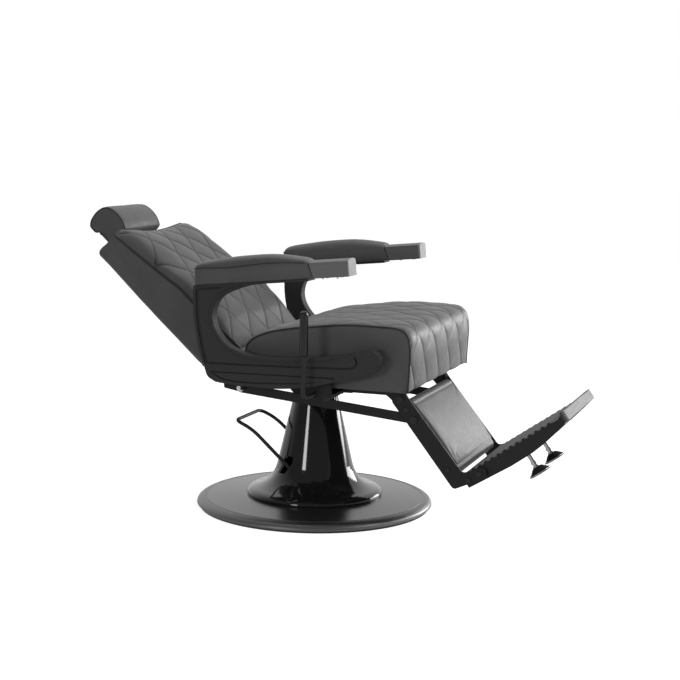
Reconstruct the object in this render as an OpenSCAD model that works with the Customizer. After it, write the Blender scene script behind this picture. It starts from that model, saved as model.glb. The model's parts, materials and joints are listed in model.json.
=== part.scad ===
// Hydraulic barber chair, shown fully reclined with the leg rest raised.
// Millimetres, +Z up. The origin is the centre of the base on the floor.
// The chair faces -Y, so a side view is drawn as [forward, up] and the
// sitter's right side is at -X.

/* [Base] */
// Outer diameter of the floor disc
base_d = 660; // [620:5:720]
// Radial width of the brushed ring round the disc
rim_w = 26; // [20:1:34]
// Height of the ring at its inner edge
rim_h = 27; // [24:1:32]
// Height of the flat seat under the pump housing
base_h = 34; // [33:1:40]
// Thickness of the disc's bottom flange, which carries the ring
base_flange_t = 6; // [4:1:8]

/* [Pump housing] */
// Diameter of the flared skirt
skirt_d = 380; // [350:2:400]
// Height of the housing's top edge above the floor
housing_h = 320; // [310:1:324]
// Diameter of the housing at its top edge
housing_top_d = 119; // [114:1:126]
// Diameter of the straight cone at its lower end
cone_low_d = 212; // [204:1:220]
// Height at which the straight cone turns into the flare
cone_low_z = 119; // [110:1:128]
// Wall of the housing
housing_wall = 4; // [3:0.5:5]

/* [Lift] */
// Travel of the ram
lift_travel = 160; // [120:5:170]
// Diameter of the ram
ram_d = 50; // [44:1:54]
// Outside diameter of the pump cylinder
cylinder_d = 78; // [72:1:82]

/* [Foot pedal] */
// Distance between the centres of the pedal's two side rods
pedal_w = 178; // [170:1:184]
// Diameter of the pedal rod
pedal_rod_d = 10; // [8:0.5:12]
// Distance of the crossbar behind the swivel axis
pedal_reach = 205; // [190:1:225]
// Height of the crossbar
pedal_z = 239; // [225:1:250]

/* [Seat] */
// Width of the seat cushion
seat_w = 570; // [540:2:572]
// Distance of the seat's rear edge behind the swivel axis
seat_rear = 92; // [84:1:92]
// Distance of the seat's front edge ahead of the swivel axis
seat_front = 359; // [350:1:370]
// Height of the seat's underside
seat_low_z = 386; // [384:1:390]
// Highest point of the side seams of the seat
seat_high_z = 553; // [540:1:570]
// Rise of the cushion's middle above its side seams
seat_crown = 8; // [5:1:14]
// Depth of the sewn diamond channels
quilt_depth = 5; // [3:0.5:7]
// Thickness of the seat board
seat_board_t = 10; // [8:1:10]

/* [Arm rests] */
// Distance between the outer faces of the two arm frames
arm_span = 670; // [664:1:690]
// Thickness of an arm frame
arm_t = 28; // [22:1:30]
// Length of an arm frame
arm_length = 517; // [500:1:530]
// Height of an arm frame at its front end of the upper bar
arm_h = 281; // [274:1:290]
// Distance of the arm frames' rear edge behind the swivel axis
arm_rear = 222; // [215:1:230]
// Height of the arm frame's lowest point
arm_low_z = 381; // [379:1:384]
// Width of an arm pad and of its cap
pad_w = 66; // [60:1:72]
// Length of an arm pad along its underside
pad_length = 335; // [322:1:345]
// Height of an arm pad at its middle
pad_h = 68; // [60:1:74]
// Upward slope of the arm pads towards the front
pad_slope = 5.8; // [4:0.2:7]
// Length of the metal cap ahead of the pad
cap_length = 95; // [84:1:102]
// Height of the metal cap's front face
cap_h = 45; // [40:1:48]

/* [Backrest] */
// Lean of the backrest from upright in the reclined position
back_lean = 47; // [44:1:50]
// Length of the backrest from its hinge to its top edge
back_length = 492; // [470:1:520]
// Width of the backrest at its top
back_top_w = 424; // [400:2:440]
// Width of the backrest at its bottom
back_low_w = 470; // [450:2:480]
// Distance of the rear face behind the hinge line
back_rear_n = 43; // [40:1:46]
// Distance of the front seams ahead of the hinge line at the bottom
back_front_n = 86; // [82:1:86]
// Rise of the quilted front above the side seams
back_crown = 40; // [30:1:44]

/* [Headrest] */
// Width of the headrest pad
head_w = 222; // [200:2:240]
// Thickness of the headrest pad from front to rear
head_t = 92; // [84:1:96]
// Height of the headrest pad along the backrest
head_length = 100; // [94:1:106]
// Gap between the backrest's top edge and the headrest pad
head_gap = 10; // [9:1:16]
// Width of the sliding bar
head_bar_w = 64; // [56:1:72]
// Thickness of the sliding bar
head_bar_t = 18; // [14:1:18]
// Distance that the bar slides out
head_travel = 100; // [80:5:110]

/* [Recline linkage] */
// Distance of the backrest hinge behind the swivel axis
hinge_rear = 186; // [184:1:190]
// Height of the backrest hinge
hinge_z = 401; // [399:1:403]
// Forward offset of a link pin from the hinge that it turns about
crank_f = 39; // [36:1:42]
// Drop of a link pin below the hinge that it turns about
crank_drop = 51; // [48:1:54]
// Forward distance from the backrest hinge to the leg rest hinge
link_run = 493; // [490:1:496]
// Drop from the backrest hinge to the leg rest hinge
link_drop = 48; // [46:1:50]
// Width of a link bar
link_w = 25; // [22:1:27]
// Thickness of the linkage's flat steel
flat_t = 6; // [5:0.5:6]
// Distance between the outer faces of the leg rest's side arms
leg_span = 396; // [388:1:400]
// Diameter of the hinge pins
pin_d = 12; // [10:0.5:14]

/* [Leg rest] */
// Angle of the leg rest below level when it is raised
leg_angle = 52; // [48:1:56]
// Length of a side arm from its hinge to its lower corner
leg_length = 270; // [262:1:276]
// Width of a side arm
leg_arm_w = 41; // [38:1:44]
// Thickness of the calf pad with its board
calf_t = 34; // [28:1:36]
// Angle of the foot plate above level when the leg rest is raised
foot_angle = 35; // [32:1:38]
// Length of the foot plate
foot_length = 321; // [300:1:330]
// Gap between the foot plate and each side arm
foot_side_gap = 4; // [3:0.5:8]
// Thickness of the foot plate at its rear part
foot_t = 46; // [42:1:48]
// Thickness of the foot plate at its toe
toe_t = 29; // [26:1:32]
// Height of the ribs on the foot plate
foot_rib_h = 5; // [4:0.5:6]
// Distance between the two chrome floor feet
feet_span = 186; // [170:1:200]
// Diameter of a floor foot's cup
cup_d = 63; // [56:1:68]

/* [Recline lever] */
// Diameter of the lever's rod
lever_d = 12; // [10:0.5:13]
// Distance of the lever from the chair's middle plane
lever_x = 370; // [366:1:380]
// Forward distance of the lever's shaft from the swivel axis
lever_f = 103; // [98:1:106]
// Height of the top of the lever's grip
lever_top_z = 593; // [580:1:606]
// Length of the grip
grip_length = 115; // [100:1:130]
// Diameter of the grip
grip_d = 22; // [18:1:26]

/* [Hidden] */
$fn = 72;

// Overrun of every cut past the faces that it opens
over = 1;
// Radial clearance of a pin or shaft that turns or slides in its hole
fit = 0.05;
// Gap between pieces that rest on each other
seat_gap = 0.3;

// Colours
matte_black = [0.10, 0.10, 0.11];
satin_black = [0.14, 0.14, 0.15];
gloss_black = [0.02, 0.02, 0.02];
leather_black = [0.17, 0.17, 0.18];
brushed_dark = [0.25, 0.25, 0.26];
satin_grey = [0.35, 0.35, 0.36];
bright_steel = [0.75, 0.75, 0.77];
board_brown = [0.45, 0.33, 0.20];

// Directions in the side view
function direction(angle) = [cos(angle), sin(angle)];
function unit(v) = v / norm(v);
function quarter_left(v) = [-v[1], v[0]];

// Point a share t of the way from b to c on a smooth curve through a, b, c and d
function spline_point(a, b, c, d, t) =
    b + (c - a) * t / 2 + (2 * a - 5 * b + 4 * c - d) * t * t / 2
    + (3 * b - a - 3 * c + d) * t * t * t / 2;

// Smooth open curve through a list of points
function smooth(points, steps) =
    let (last = len(points) - 1)
    [for (i = [0 : last - 1]) for (k = [0 : steps - 1])
        spline_point(points[max(i - 1, 0)], points[i], points[i + 1], points[min(i + 2, last)], k / steps),
     points[last]];

// Arc that rounds the corner at b between a and c
function corner(a, b, c, r, steps) =
    r <= 0 ? [b] :
    let (u = unit(a - b), v = unit(c - b), half = acos(u * v) / 2,
        centre = b + unit(u + v) * r / sin(half),
        first = b + u * r / tan(half) - centre,
        start = atan2(first[1], first[0]),
        turn = (u[0] * v[1] - u[1] * v[0] > 0 ? -1 : 1) * (180 - 2 * half))
    [for (k = [0 : steps]) centre + r * direction(start + turn * k / steps)];

// Closed outline with rounded corners
function rounded(points, radii, steps = 6) =
    let (n = len(points))
    [for (i = [0 : n - 1]) each
        corner(points[(i + n - 1) % n], points[i], points[(i + 1) % n], radii[i], steps)];

// Closed strip of the given width along an open curve
function strip(points, width) =
    let (n = len(points),
        side_of = function (i) quarter_left(unit(points[min(i + 1, n - 1)] - points[max(i - 1, 0)])))
    concat([for (i = [0 : n - 1]) points[i] + side_of(i) * width / 2],
        [for (i = [n - 1 : -1 : 0]) points[i] - side_of(i) * width / 2]);

// Round-ended bar from p to q, with its ends centred on p and q
function bar_outline(p, q, r, steps = 12) =
    let (a = atan2(q[1] - p[1], q[0] - p[0]))
    concat([for (k = [0 : steps]) q + r * direction(a - 90 + 180 * k / steps)],
        [for (k = [0 : steps]) p + r * direction(a + 90 + 180 * k / steps)]);

// Points at equal distances along a curve
function lengths(points) =
    [for (i = 0, sum = 0; i < len(points);
        sum = sum + (i + 1 < len(points) ? norm(points[i + 1] - points[i]) : 0), i = i + 1) sum];
function even(points, count) =
    let (l = lengths(points), total = l[len(l) - 1],
        first = [for (i = [0 : len(l) - 1]) [l[i], points[i][0]]],
        second = [for (i = [0 : len(l) - 1]) [l[i], points[i][1]]])
    [for (k = [0 : count]) [lookup(total * k / count, first), lookup(total * k / count, second)]];

// Extrudes a side view from x_low towards +X
module side(x_low, width)
    translate([x_low + width, 0, 0]) rotate([90, 0, -90]) linear_extrude(width) children();

// Same for a pair of pieces, whose inner faces are x_low from the middle plane
module both_sides(x_low, width) {
    side(x_low, width) children();
    side(-x_low - width, width) children();
}

// Round bar along X at a place of the side view
module xbar(place, x_low, length, radius)
    translate([x_low, -place[0], place[1]]) rotate([0, 90, 0]) cylinder(r = radius, h = length);
module xbar_pair(place, x_low, length, radius) {
    xbar(place, x_low, length, radius);
    xbar(place, -x_low - length, length, radius);
}

// Block between two places of the side view
module block(x_low, width, low, high)
    translate([x_low, -high[0], low[1]]) cube([width, high[0] - low[0], high[1] - low[1]]);

// Closed skin over rings of points. Diamond quilting turns the diagonals of
// the faces along the sewn lines.
module skin(rings, end_a, end_b, pitch = 0) {
    n = len(rings[0]);
    m = len(rings);
    points = concat([for (ring = rings) each ring], [end_a, end_b]);
    faces = [
        for (i = [0 : m - 2]) for (j = [0 : n - 1])
            let (a = i * n + j, b = i * n + (j + 1) % n, c = a + n, d = b + n)
            each (pitch > 0 && (i + 1 + j) % pitch == 0 ? [[a, c, b], [b, c, d]] : [[a, d, b], [a, c, d]]),
        for (j = [0 : n - 1]) [m * n, j, (j + 1) % n],
        for (j = [0 : n - 1]) [m * n + 1, (m - 1) * n + (j + 1) % n, (m - 1) * n + j]
    ];
    polyhedron(points, faces);
}

// Puff of a diamond, nothing on the sewn lines and one at its middle
function puff(i, j, pitch) = pow(abs(sin(180 * (i + j) / pitch) * sin(180 * (i - j) / pitch)), 0.6);

// Rise of an upholstered edge, from nothing at the seam to one at distance one
function edge_rise(t) = t >= 1 ? 1 : sqrt(max(0, 1 - (1 - t) * (1 - t)));

// Linkage in the side view
back_hinge = [-hinge_rear, hinge_z];
leg_hinge = back_hinge + [link_run, -link_drop];
crank = [crank_f, -crank_drop];
back_pin = back_hinge + crank;
leg_pin = leg_hinge + crank;

// Distances of the flat steel pieces from the middle plane
leg_arm_x = leg_span / 2 - flat_t;
steel_gap = 2;
link_x = leg_arm_x - steel_gap - flat_t;
bracket_x = link_x - steel_gap - flat_t;

// Floor disc
rim_gap = 0.8;
flange_inset = 8;
rim_belly_z = 10;
plate_r = base_d / 2 - rim_w - rim_gap;
skirt_seat_r = skirt_d / 2 + flange_inset;

base_wall = 9;
base_ribs = 8;
hub_r = 90;
hub_foot_r = 45;

module base_plate() color(matte_black) {
    rotate_extrude() polygon([
        [0, 0], [hub_foot_r, 0], [hub_foot_r, base_h - 2 * base_wall],
        [hub_r, base_h - 2 * base_wall], [hub_r, base_h - base_wall],
        [skirt_seat_r, base_h - base_wall], [plate_r - base_wall, rim_h - base_wall],
        [plate_r - base_wall, 0], [base_d / 2 - flange_inset, 0], [base_d / 2 - flange_inset, base_flange_t],
        [plate_r, base_flange_t], [plate_r, rim_h], [skirt_seat_r, base_h], [0, base_h]]);
    for (k = [0 : base_ribs - 1]) rotate([0, 0, 360 * k / base_ribs])
        translate([hub_r - over, -base_wall / 2, base_wall / 3])
        cube([plate_r - base_wall - hub_r + 2 * over, base_wall, rim_h - base_wall - over]);
}

module base_rim() color(brushed_dark) rotate_extrude() polygon(concat(
    [[base_d / 2 - rim_w, base_flange_t + seat_gap / 2],
     [base_d / 2 - flange_inset / 2, base_flange_t + seat_gap / 2]],
    [for (a = [0 : 15 : 90])
        [base_d / 2 - rim_w + rim_w * cos(a), rim_belly_z + (rim_h - rim_belly_z) * sin(a)]]));

// Pump housing: a straight cone that flares into a round skirt
flare_shares = [[0.99, 0], [1, 0.07], [0.965, 0.14], [0.857, 0.21], [0.643, 0.28], [0.43, 0.376],
    [0.262, 0.506], [0.143, 0.66], [0.06, 0.82], [0, 1]];
lip_w = 9;
slot_w = 18;
slot_rear = 30;
slot_low_z = 100;
slot_high_z = 150;
flare = smooth([for (p = flare_shares)
    [cone_low_d / 2 + p[0] * (skirt_d - cone_low_d) / 2, base_h + p[1] * (cone_low_z - base_h)]], 3);
flare_inner = [for (i = [0 : len(flare) - 1])
    flare[i] + quarter_left(unit(flare[min(i + 1, len(flare) - 1)] - flare[max(i - 1, 0)])) * housing_wall];

module pump_housing() color(gloss_black) difference() {
    rotate_extrude() polygon(concat(flare,
        [[housing_top_d / 2, housing_h], [housing_top_d / 2 - lip_w, housing_h],
         [housing_top_d / 2 - lip_w, housing_h - housing_wall],
         [housing_top_d / 2 - housing_wall, housing_h - housing_wall]],
        [for (i = [len(flare) - 1 : -1 : 1]) flare_inner[i]], [[flare_inner[1][0], base_h]]));
    for (s = [-1, 1]) translate([s * pedal_w / 2 - slot_w / 2, slot_rear, slot_low_z])
        cube([slot_w, skirt_d / 2, slot_high_z - slot_low_z]);
}

// Pump inside the housing
cylinder_flange_d = 150;
cylinder_flange_t = 10;
gland_d = 92;
gland_t = 14;
cylinder_drop = 20;
cylinder_top_z = housing_h - cylinder_drop;
ram_hold = 80;
ram_foot_z = cylinder_top_z - lift_travel - ram_hold;
ram_r = ram_d / 2;

module pump_cylinder() color(satin_black) rotate_extrude() polygon([
    [0, base_h], [cylinder_flange_d / 2, base_h], [cylinder_flange_d / 2, base_h + cylinder_flange_t],
    [cylinder_d / 2, base_h + cylinder_flange_t], [cylinder_d / 2, cylinder_top_z],
    [ram_r + fit, cylinder_top_z], [ram_r + fit, ram_foot_z], [0, ram_foot_z]]);

module cylinder_gland() color(bright_steel) translate([0, 0, cylinder_top_z]) difference() {
    cylinder(d = gland_d, h = gland_t);
    translate([0, 0, -over]) cylinder(r = ram_r + fit, h = gland_t + 2 * over);
}

// Pump block that carries the pedal's pivot pins
pedal_run = 133;
pedal_bend = [-155, 218];
pedal_pivot = [pedal_bend[0] + pedal_run, 99];
pump_block_h = 36;
pump_collar_t = 12;
pedal_eye_w = 12;
pedal_eye_t = 5;
pedal_pin_r = 6;
pin_head_t = 3;
block_half_w = pedal_w / 2 - pedal_eye_w / 2 - steel_gap / 2;

module pump_block() color(satin_black) difference() {
    union() {
        translate([0, 0, pedal_pivot[1] - pump_block_h / 2])
            cylinder(r = cylinder_d / 2 + pump_collar_t, h = pump_block_h);
        block(-block_half_w, 2 * block_half_w, pedal_pivot - [pump_block_h / 2, pump_block_h / 2],
            pedal_pivot + [pump_block_h / 2, pump_block_h / 2]);
    }
    translate([0, 0, pedal_pivot[1] - pump_block_h]) cylinder(r = cylinder_d / 2 + fit, h = 2 * pump_block_h);
    xbar_pair(pedal_pivot, cylinder_d / 2 + pump_collar_t, pedal_w, pedal_pin_r + fit);
}

module pedal_pins() color(bright_steel) {
    inner = cylinder_d / 2 + pump_collar_t + steel_gap;
    outer = pedal_w / 2 + pedal_eye_w / 2 + steel_gap / 2;
    xbar_pair(pedal_pivot, inner, outer - inner, pedal_pin_r);
    xbar_pair(pedal_pivot, outer, pin_head_t, pedal_pin_r + pin_head_t);
}

// Curve that bends a rod at b, from a to c
function bend(a, b, c, r, steps) =
    let (p = b + unit(a - b) * r, q = b + unit(c - b) * r)
    [for (k = [0 : steps]) let (t = k / steps) (1 - t) * (1 - t) * p + 2 * t * (1 - t) * b + t * t * q];
function rod_path(points, radii, steps = 5) =
    let (n = len(points))
    concat([points[0]],
        [for (i = [1 : n - 2]) each bend(points[i - 1], points[i], points[i + 1], radii[i - 1], steps)],
        [points[n - 1]]);

// Round rod along a path in space
module rod(path, r, sides = 12) {
    n = len(path);
    ways = [for (i = [0 : n - 1]) unit(path[min(i + 1, n - 1)] - path[max(i - 1, 0)])];
    start = unit(cross(ways[0], abs(ways[0][0]) < 0.9 ? [1, 0, 0] : [0, 0, 1]));
    sides_of = [for (i = 0, v = start; i < n;
        i = i + 1, v = i < n ? unit(v - ways[i] * (v * ways[i])) : v) v];
    rings = [for (i = [0 : n - 1]) let (v = sides_of[i], w = cross(ways[i], v))
        [for (k = [0 : sides - 1]) path[i] + r * (cos(360 * k / sides) * v + sin(360 * k / sides) * w)]];
    skin(rings, path[0], path[n - 1]);
}

// Place in space of a point of the side view
function at(x, place) = [x, -place[0], place[1]];

pedal_corner_r = 22;
pedal_bend_r = 30;
pedal_bar = [-pedal_reach, pedal_z];
eye_r = pedal_pin_r + pedal_eye_t;

module foot_pedal() color(satin_black) difference() {
    union() {
        start = pedal_pivot + unit(pedal_bend - pedal_pivot) * (eye_r - pedal_eye_t / 2);
        rod(rod_path([at(-pedal_w / 2, start), at(-pedal_w / 2, pedal_bend), at(-pedal_w / 2, pedal_bar),
            at(pedal_w / 2, pedal_bar), at(pedal_w / 2, pedal_bend), at(pedal_w / 2, start)],
            [pedal_bend_r, pedal_corner_r, pedal_corner_r, pedal_bend_r]), pedal_rod_d / 2);
        xbar_pair(pedal_pivot, pedal_w / 2 - pedal_eye_w / 2, pedal_eye_w, eye_r);
    }
    xbar_pair(pedal_pivot, pedal_w / 2 - pedal_eye_w / 2 - over, pedal_eye_w + 2 * over, pedal_pin_r + fit);
}

// Ram and swivel
ram_flange_r = 34;
ram_flange_t = 6;
stub_r = 18;
bearing_t = 7;
head_low_z = housing_h + steel_gap;
head_top_z = 358;
head_half_w = 62;
head_rear = 56;
head_front = 76;
head_chamfer = 14;

module ram() color(bright_steel) rotate_extrude() polygon([
    [0, ram_foot_z + seat_gap], [ram_r, ram_foot_z + seat_gap], [ram_r, head_low_z],
    [ram_flange_r, head_low_z], [ram_flange_r, head_low_z + ram_flange_t],
    [stub_r, head_low_z + ram_flange_t], [stub_r, head_top_z - over], [0, head_top_z - over]]);

module swivel_bearing() color(bright_steel)
    translate([0, 0, head_low_z + ram_flange_t]) difference() {
        cylinder(r = ram_flange_r, h = bearing_t);
        translate([0, 0, -over]) cylinder(r = stub_r + fit, h = bearing_t + 2 * over);
    }

module swivel_head() color(matte_black) difference() {
    side(-head_half_w, 2 * head_half_w) polygon([
        [-head_rear + head_chamfer, head_low_z], [head_front - head_chamfer, head_low_z],
        [head_front, head_low_z + head_chamfer], [head_front, head_top_z], [-head_rear, head_top_z],
        [-head_rear, head_low_z + head_chamfer]]);
    translate([0, 0, head_low_z - over]) cylinder(r = stub_r + fit, h = head_top_z);
    translate([0, 0, head_low_z - over])
        cylinder(r = ram_flange_r + steel_gap, h = over + ram_flange_t + bearing_t + fit);
}

// Seat frame: two side plates with hinge ears, three channels and lugs
plate_low_z = 361;
plate_top_z = seat_low_z - seat_gap;
rear_ear_r = 17;
front_ear_r = 20;
channel_h = 18;
channel_w = 30;
channel_f = [-60, 50, 140];
channel_z = head_top_z;
plate_rear_knee = seat_rear + 8;
lever_shaft = [lever_f, 368];
lug_t = 6;
lug_x = 90;
gas_x = 122;
gas_eye_w = 12;
gas_eye_r = 12;
gas_pivot = [150, 332];
frame_x = link_x;

rear_ear_arc = [300, 50];
front_ear_arc = [70, -150];
lug_arc = [180, 360];

// Arc round a centre between two angles
function ear_arc(c, r, arc, steps = 10) =
    [for (k = [0 : steps]) c + r * direction(arc[0] + (arc[1] - arc[0]) * k / steps)];
plate_outline = concat(
    ear_arc(back_hinge, rear_ear_r, rear_ear_arc),
    [[-plate_rear_knee, plate_top_z], [leg_hinge[0] - front_ear_r, plate_top_z]],
    ear_arc(leg_hinge, front_ear_r, front_ear_arc),
    [[leg_hinge[0] - 2 * front_ear_r, plate_low_z], [-plate_rear_knee, plate_low_z]]);

module seat_frame() color(matte_black) difference() {
    union() {
        both_sides(frame_x, flat_t) polygon(plate_outline);
        for (f = channel_f)
            block(-frame_x, 2 * frame_x, [f, channel_z], [f + channel_w, channel_z + channel_h]);
        side(-lug_x - lug_t, lug_t) polygon([
            [channel_f[1] + channel_w / 2, channel_z - lug_t],
            [channel_f[2] + channel_w / 2, channel_z - lug_t],
            [channel_f[2] + channel_w / 2, channel_z + channel_h],
            [channel_f[1] + channel_w / 2, channel_z + channel_h]]);
        for (x = [gas_x - gas_eye_w / 2 - over - lug_t, gas_x + gas_eye_w / 2 + over])
            side(x, lug_t) polygon(concat(ear_arc(gas_pivot, gas_eye_r, lug_arc),
                [[channel_f[2] + channel_w, channel_z + channel_h / 2],
                 [channel_f[2], channel_z + channel_h / 2]]));
    }
    for (place = [back_hinge, leg_hinge])
        xbar_pair(place, frame_x - over, flat_t + 2 * over, pin_d / 2 + fit);
    xbar(lever_shaft, -frame_x - flat_t - over, 2 * frame_x, lever_d / 2 + fit);
    xbar(gas_pivot, gas_x - gas_eye_w - lug_t, 2 * gas_eye_w + 2 * lug_t, pin_d / 2 + fit);
}

// Hinge pins of the backrest and of the leg rest
head_rim = 4;
head_r = pin_d / 2 + head_rim;
hinge_head_t = 5;

module pin_pair(place, x_low, x_high) {
    xbar_pair(place, x_low, x_high - x_low, pin_d / 2);
    xbar_pair(place, x_high, hinge_head_t, head_r);
}

module hinge_pins() color(satin_black) {
    pin_pair(back_hinge, bracket_x - steel_gap, frame_x + flat_t + seat_gap);
    pin_pair(leg_hinge, frame_x - steel_gap, leg_arm_x + flat_t + seat_gap);
}

board_margin = 17;
module seat_board() color(board_brown)
    block(-frame_x + steel_gap, 2 * (frame_x - steel_gap), [-seat_rear + board_margin, channel_z + channel_h],
        [seat_front - 3 * board_margin, channel_z + channel_h + seat_board_t]);

// Seat cushion, quilted over its top and down its front
seat_side_shares = [[0, 0.43], [0, 0.505], [0.01, 0.6], [0.04, 0.685], [0.085, 0.75], [0.155, 0.82],
    [0.28, 0.89], [0.4, 0.93], [0.54, 0.98], [0.67, 1], [0.8, 1], [0.885, 0.995], [0.94, 0.975],
    [0.972, 0.915], [0.993, 0.82], [1, 0.63], [0.998, 0.43], [0.994, 0.22], [0.991, 0]];
seat_diamonds = 5;
seat_rows = 4;
pitch = 6;
seat_edge_r = 60;
side_draw = 6;
seat_line = even(smooth([for (p = seat_side_shares)
    [-seat_rear + p[0] * (seat_front + seat_rear), seat_low_z + p[1] * (seat_high_z - seat_low_z)]], 4),
    seat_rows * pitch);

// Offset of an upholstered point, from the crown and the diamond's puff
function quilted(i, j, across, crown, edge, depth) =
    let (x = (across - abs(2 * i - across)) / across, rise = edge_rise(x * edge))
    rise * (crown + depth * puff(i, j, pitch) - depth);

module seat_cushion() color(leather_black) {
    across = seat_diamonds * pitch;
    last = len(seat_line) - 1;
    edge = seat_w / 2 / seat_edge_r;
    rings = [for (i = [0 : across]) let (x = seat_w * (i / across - 1 / 2))
        concat([at(x, [-seat_rear, seat_low_z])],
            [for (j = [0 : last])
                let (out = quarter_left(unit(seat_line[min(j + 1, last)] - seat_line[max(j - 1, 0)])))
                at(x, seat_line[j] + out * quilted(i, j, across, seat_crown * min(1, (last - j) / pitch),
                    edge, quilt_depth * min(1, j / pitch)))])];
    middle = [(seat_front - seat_rear) / 2, (seat_high_z + seat_low_z) / 2];
    skin(rings, at(-seat_w / 2 + side_draw, middle), at(seat_w / 2 - side_draw, middle), pitch);
}

// Rectangle of a side view
module rect(low, high) translate(low) square(high - low);

// Prism of a side view on one side: s is -1 for the sitter's right
module on_side(s, x_low, width) side(s > 0 ? x_low : -x_low - width, width) children();

// Arm frames: castings with a C-shaped opening, a raised bead and grooves
arm_x = arm_span / 2 - arm_t;
tip_share = 0.445;
outer_shares = [[0, 0.75], [0.005, 0.595], [0.02, 0.44], [0.035, 0.3], [0.06, 0.18], [0.08, 0.08],
    [0.11, 0.04], [0.147, 0.02], [0.277, 0.007], [0.43, 0], [0.553, 0.018], [0.67, 0.057], [0.762, 0.1],
    [0.855, 0.142], [0.925, 0.185], [0.97, 0.217], [0.992, 0.26], [1, 0.324], [0.99, 0.37], [0.97, 0.405], [0.95, 0.416],
    [0.913, 0.402]];
inner_shares = [[0.853, 0.377], [0.76, 0.342], [0.667, 0.317], [0.478, 0.288], [0.33, 0.295], [0.265, 0.32],
    [0.198, 0.37], [0.153, 0.445], [0.122, 0.534], [0.109, 0.626], [0.115, 0.712], [0.134, 0.786],
    [0.165, 0.84], [0.218, 0.886]];
arch_shares = [[0.27, 0.92], [0.325, 0.949], [0.4, 0.97]];
function arm_place(p) = [-arm_rear + p[0] * arm_length, arm_low_z + p[1] * arm_h];
tip_f = arm_place([tip_share, 1])[0];
function pad_under(f) = arm_low_z + arm_h + (f - tip_f) * tan(pad_slope);
arm_outline = smooth(concat([[-arm_rear, pad_under(-arm_rear) - 2 * seat_gap]],
    [for (p = concat(outer_shares, inner_shares, arch_shares)) arm_place(p)],
    [[tip_f, pad_under(tip_f) - flat_t / 2]]), 3);

// Bead along the edge of the C-shaped opening
bead_w = 8;
bead_h = 3;
bead_inset = 1;
bead_taper = 6;
bead_line = smooth([for (p = inner_shares) arm_place(p)], 3);
bead_out = [for (i = [0 : len(bead_line) - 1])
    quarter_left(unit(bead_line[min(i + 1, len(bead_line) - 1)] - bead_line[max(i - 1, 0)]))];
bead = concat([for (i = [0 : len(bead_line) - 1]) bead_line[i] + bead_out[i] * bead_inset],
    [for (i = [len(bead_line) - 1 : -1 : 0]) bead_line[i] + bead_out[i] * (bead_inset
        + bead_w * min(1, (i + 1) / bead_taper, (len(bead_line) - i) / bead_taper))]);

// Grooves of the outer face, with their widths
groove_depth = 5;
groove_w = 4.5;
rear_groove = [[0.024, 0.882], [0.024, 0.75], [0.029, 0.595], [0.043, 0.44], [0.058, 0.31], [0.076, 0.2]];
top_groove = [[0.024, 0.879], [0.155, 0.909]];
low_groove = [[0.074, 0.2], [0.299, 0.205], [0.6, 0.219], [0.77, 0.23], [0.838, 0.237], [0.868, 0.256],
    [0.88, 0.295], [0.868, 0.345]];
spear_shares = [[0.096, 0.123], [0.3, 0.127], [0.54, 0.136], [0.767, 0.144], [0.762, 0.123], [0.68, 0.09],
    [0.596, 0.065], [0.48, 0.047], [0.36, 0.035], [0.239, 0.034], [0.18, 0.045], [0.146, 0.064],
    [0.11, 0.106]];
spear_middle = [0.42, 0.09];
spear_island = [0.97, 0.74];
grooves = [[rear_groove, 2 * groove_w], [top_groove, groove_w], [low_groove, groove_w]];

// Flange under the pad and bolts to the brackets
pad_out = 10;
pad_centre = arm_span / 2 + pad_out - pad_w / 2;
flange_w = 52;
flange_rear = 17;
flange_front = 100;
bracket_f = [-95, 135];
bracket_w = 40;
bracket_bar_z = [376, 362];
bracket_bar_t = 8;
bracket_top_z = 432;
arm_bolt_z = 415;
arm_bolt_r = 4;
bolt_head_share = 1.75;
screw_head_share = 1.8;
arm_bolt_run = 15;
arm_bolt_places = [for (f = bracket_f) for (s = [-1, 1]) [f + s * bracket_w / 4, arm_bolt_z]];

module arm_frame(s) color(satin_black) difference() {
    union() {
        on_side(s, arm_x, arm_t) polygon(arm_outline);
        on_side(s, arm_x + arm_t / 2, arm_t / 2 + bead_h) polygon(bead);
        on_side(s, pad_centre - flange_w / 2, flange_w) polygon([
            [flange_rear - arm_rear, pad_under(flange_rear - arm_rear) - seat_gap],
            [flange_rear - arm_rear, pad_under(flange_rear - arm_rear) - seat_gap - flat_t],
            [flange_front, pad_under(flange_front) - seat_gap - flat_t],
            [flange_front, pad_under(flange_front) - seat_gap]]);
    }
    for (g = grooves) on_side(s, arm_x + arm_t - groove_depth, groove_depth + over + bead_h)
        polygon(strip(smooth([for (p = g[0]) arm_place(p)], 3), g[1]));
    difference() {
        on_side(s, arm_x + arm_t - groove_depth, groove_depth + over)
            polygon([for (p = spear_shares) arm_place(p)]);
        on_side(s, arm_x + arm_t - groove_depth - over, groove_depth + 3 * over)
            polygon([for (p = spear_shares) arm_place([for (k = [0, 1])
                spear_middle[k] + (p[k] - spear_middle[k]) * spear_island[k]])]);
    }
    for (p = arm_bolt_places)
        xbar(p, s > 0 ? arm_x - over : -arm_x - arm_bolt_run, arm_bolt_run + over, arm_bolt_r + fit);
}
module arm_frame_right() arm_frame(-1);
module arm_frame_left() arm_frame(1);

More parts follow.
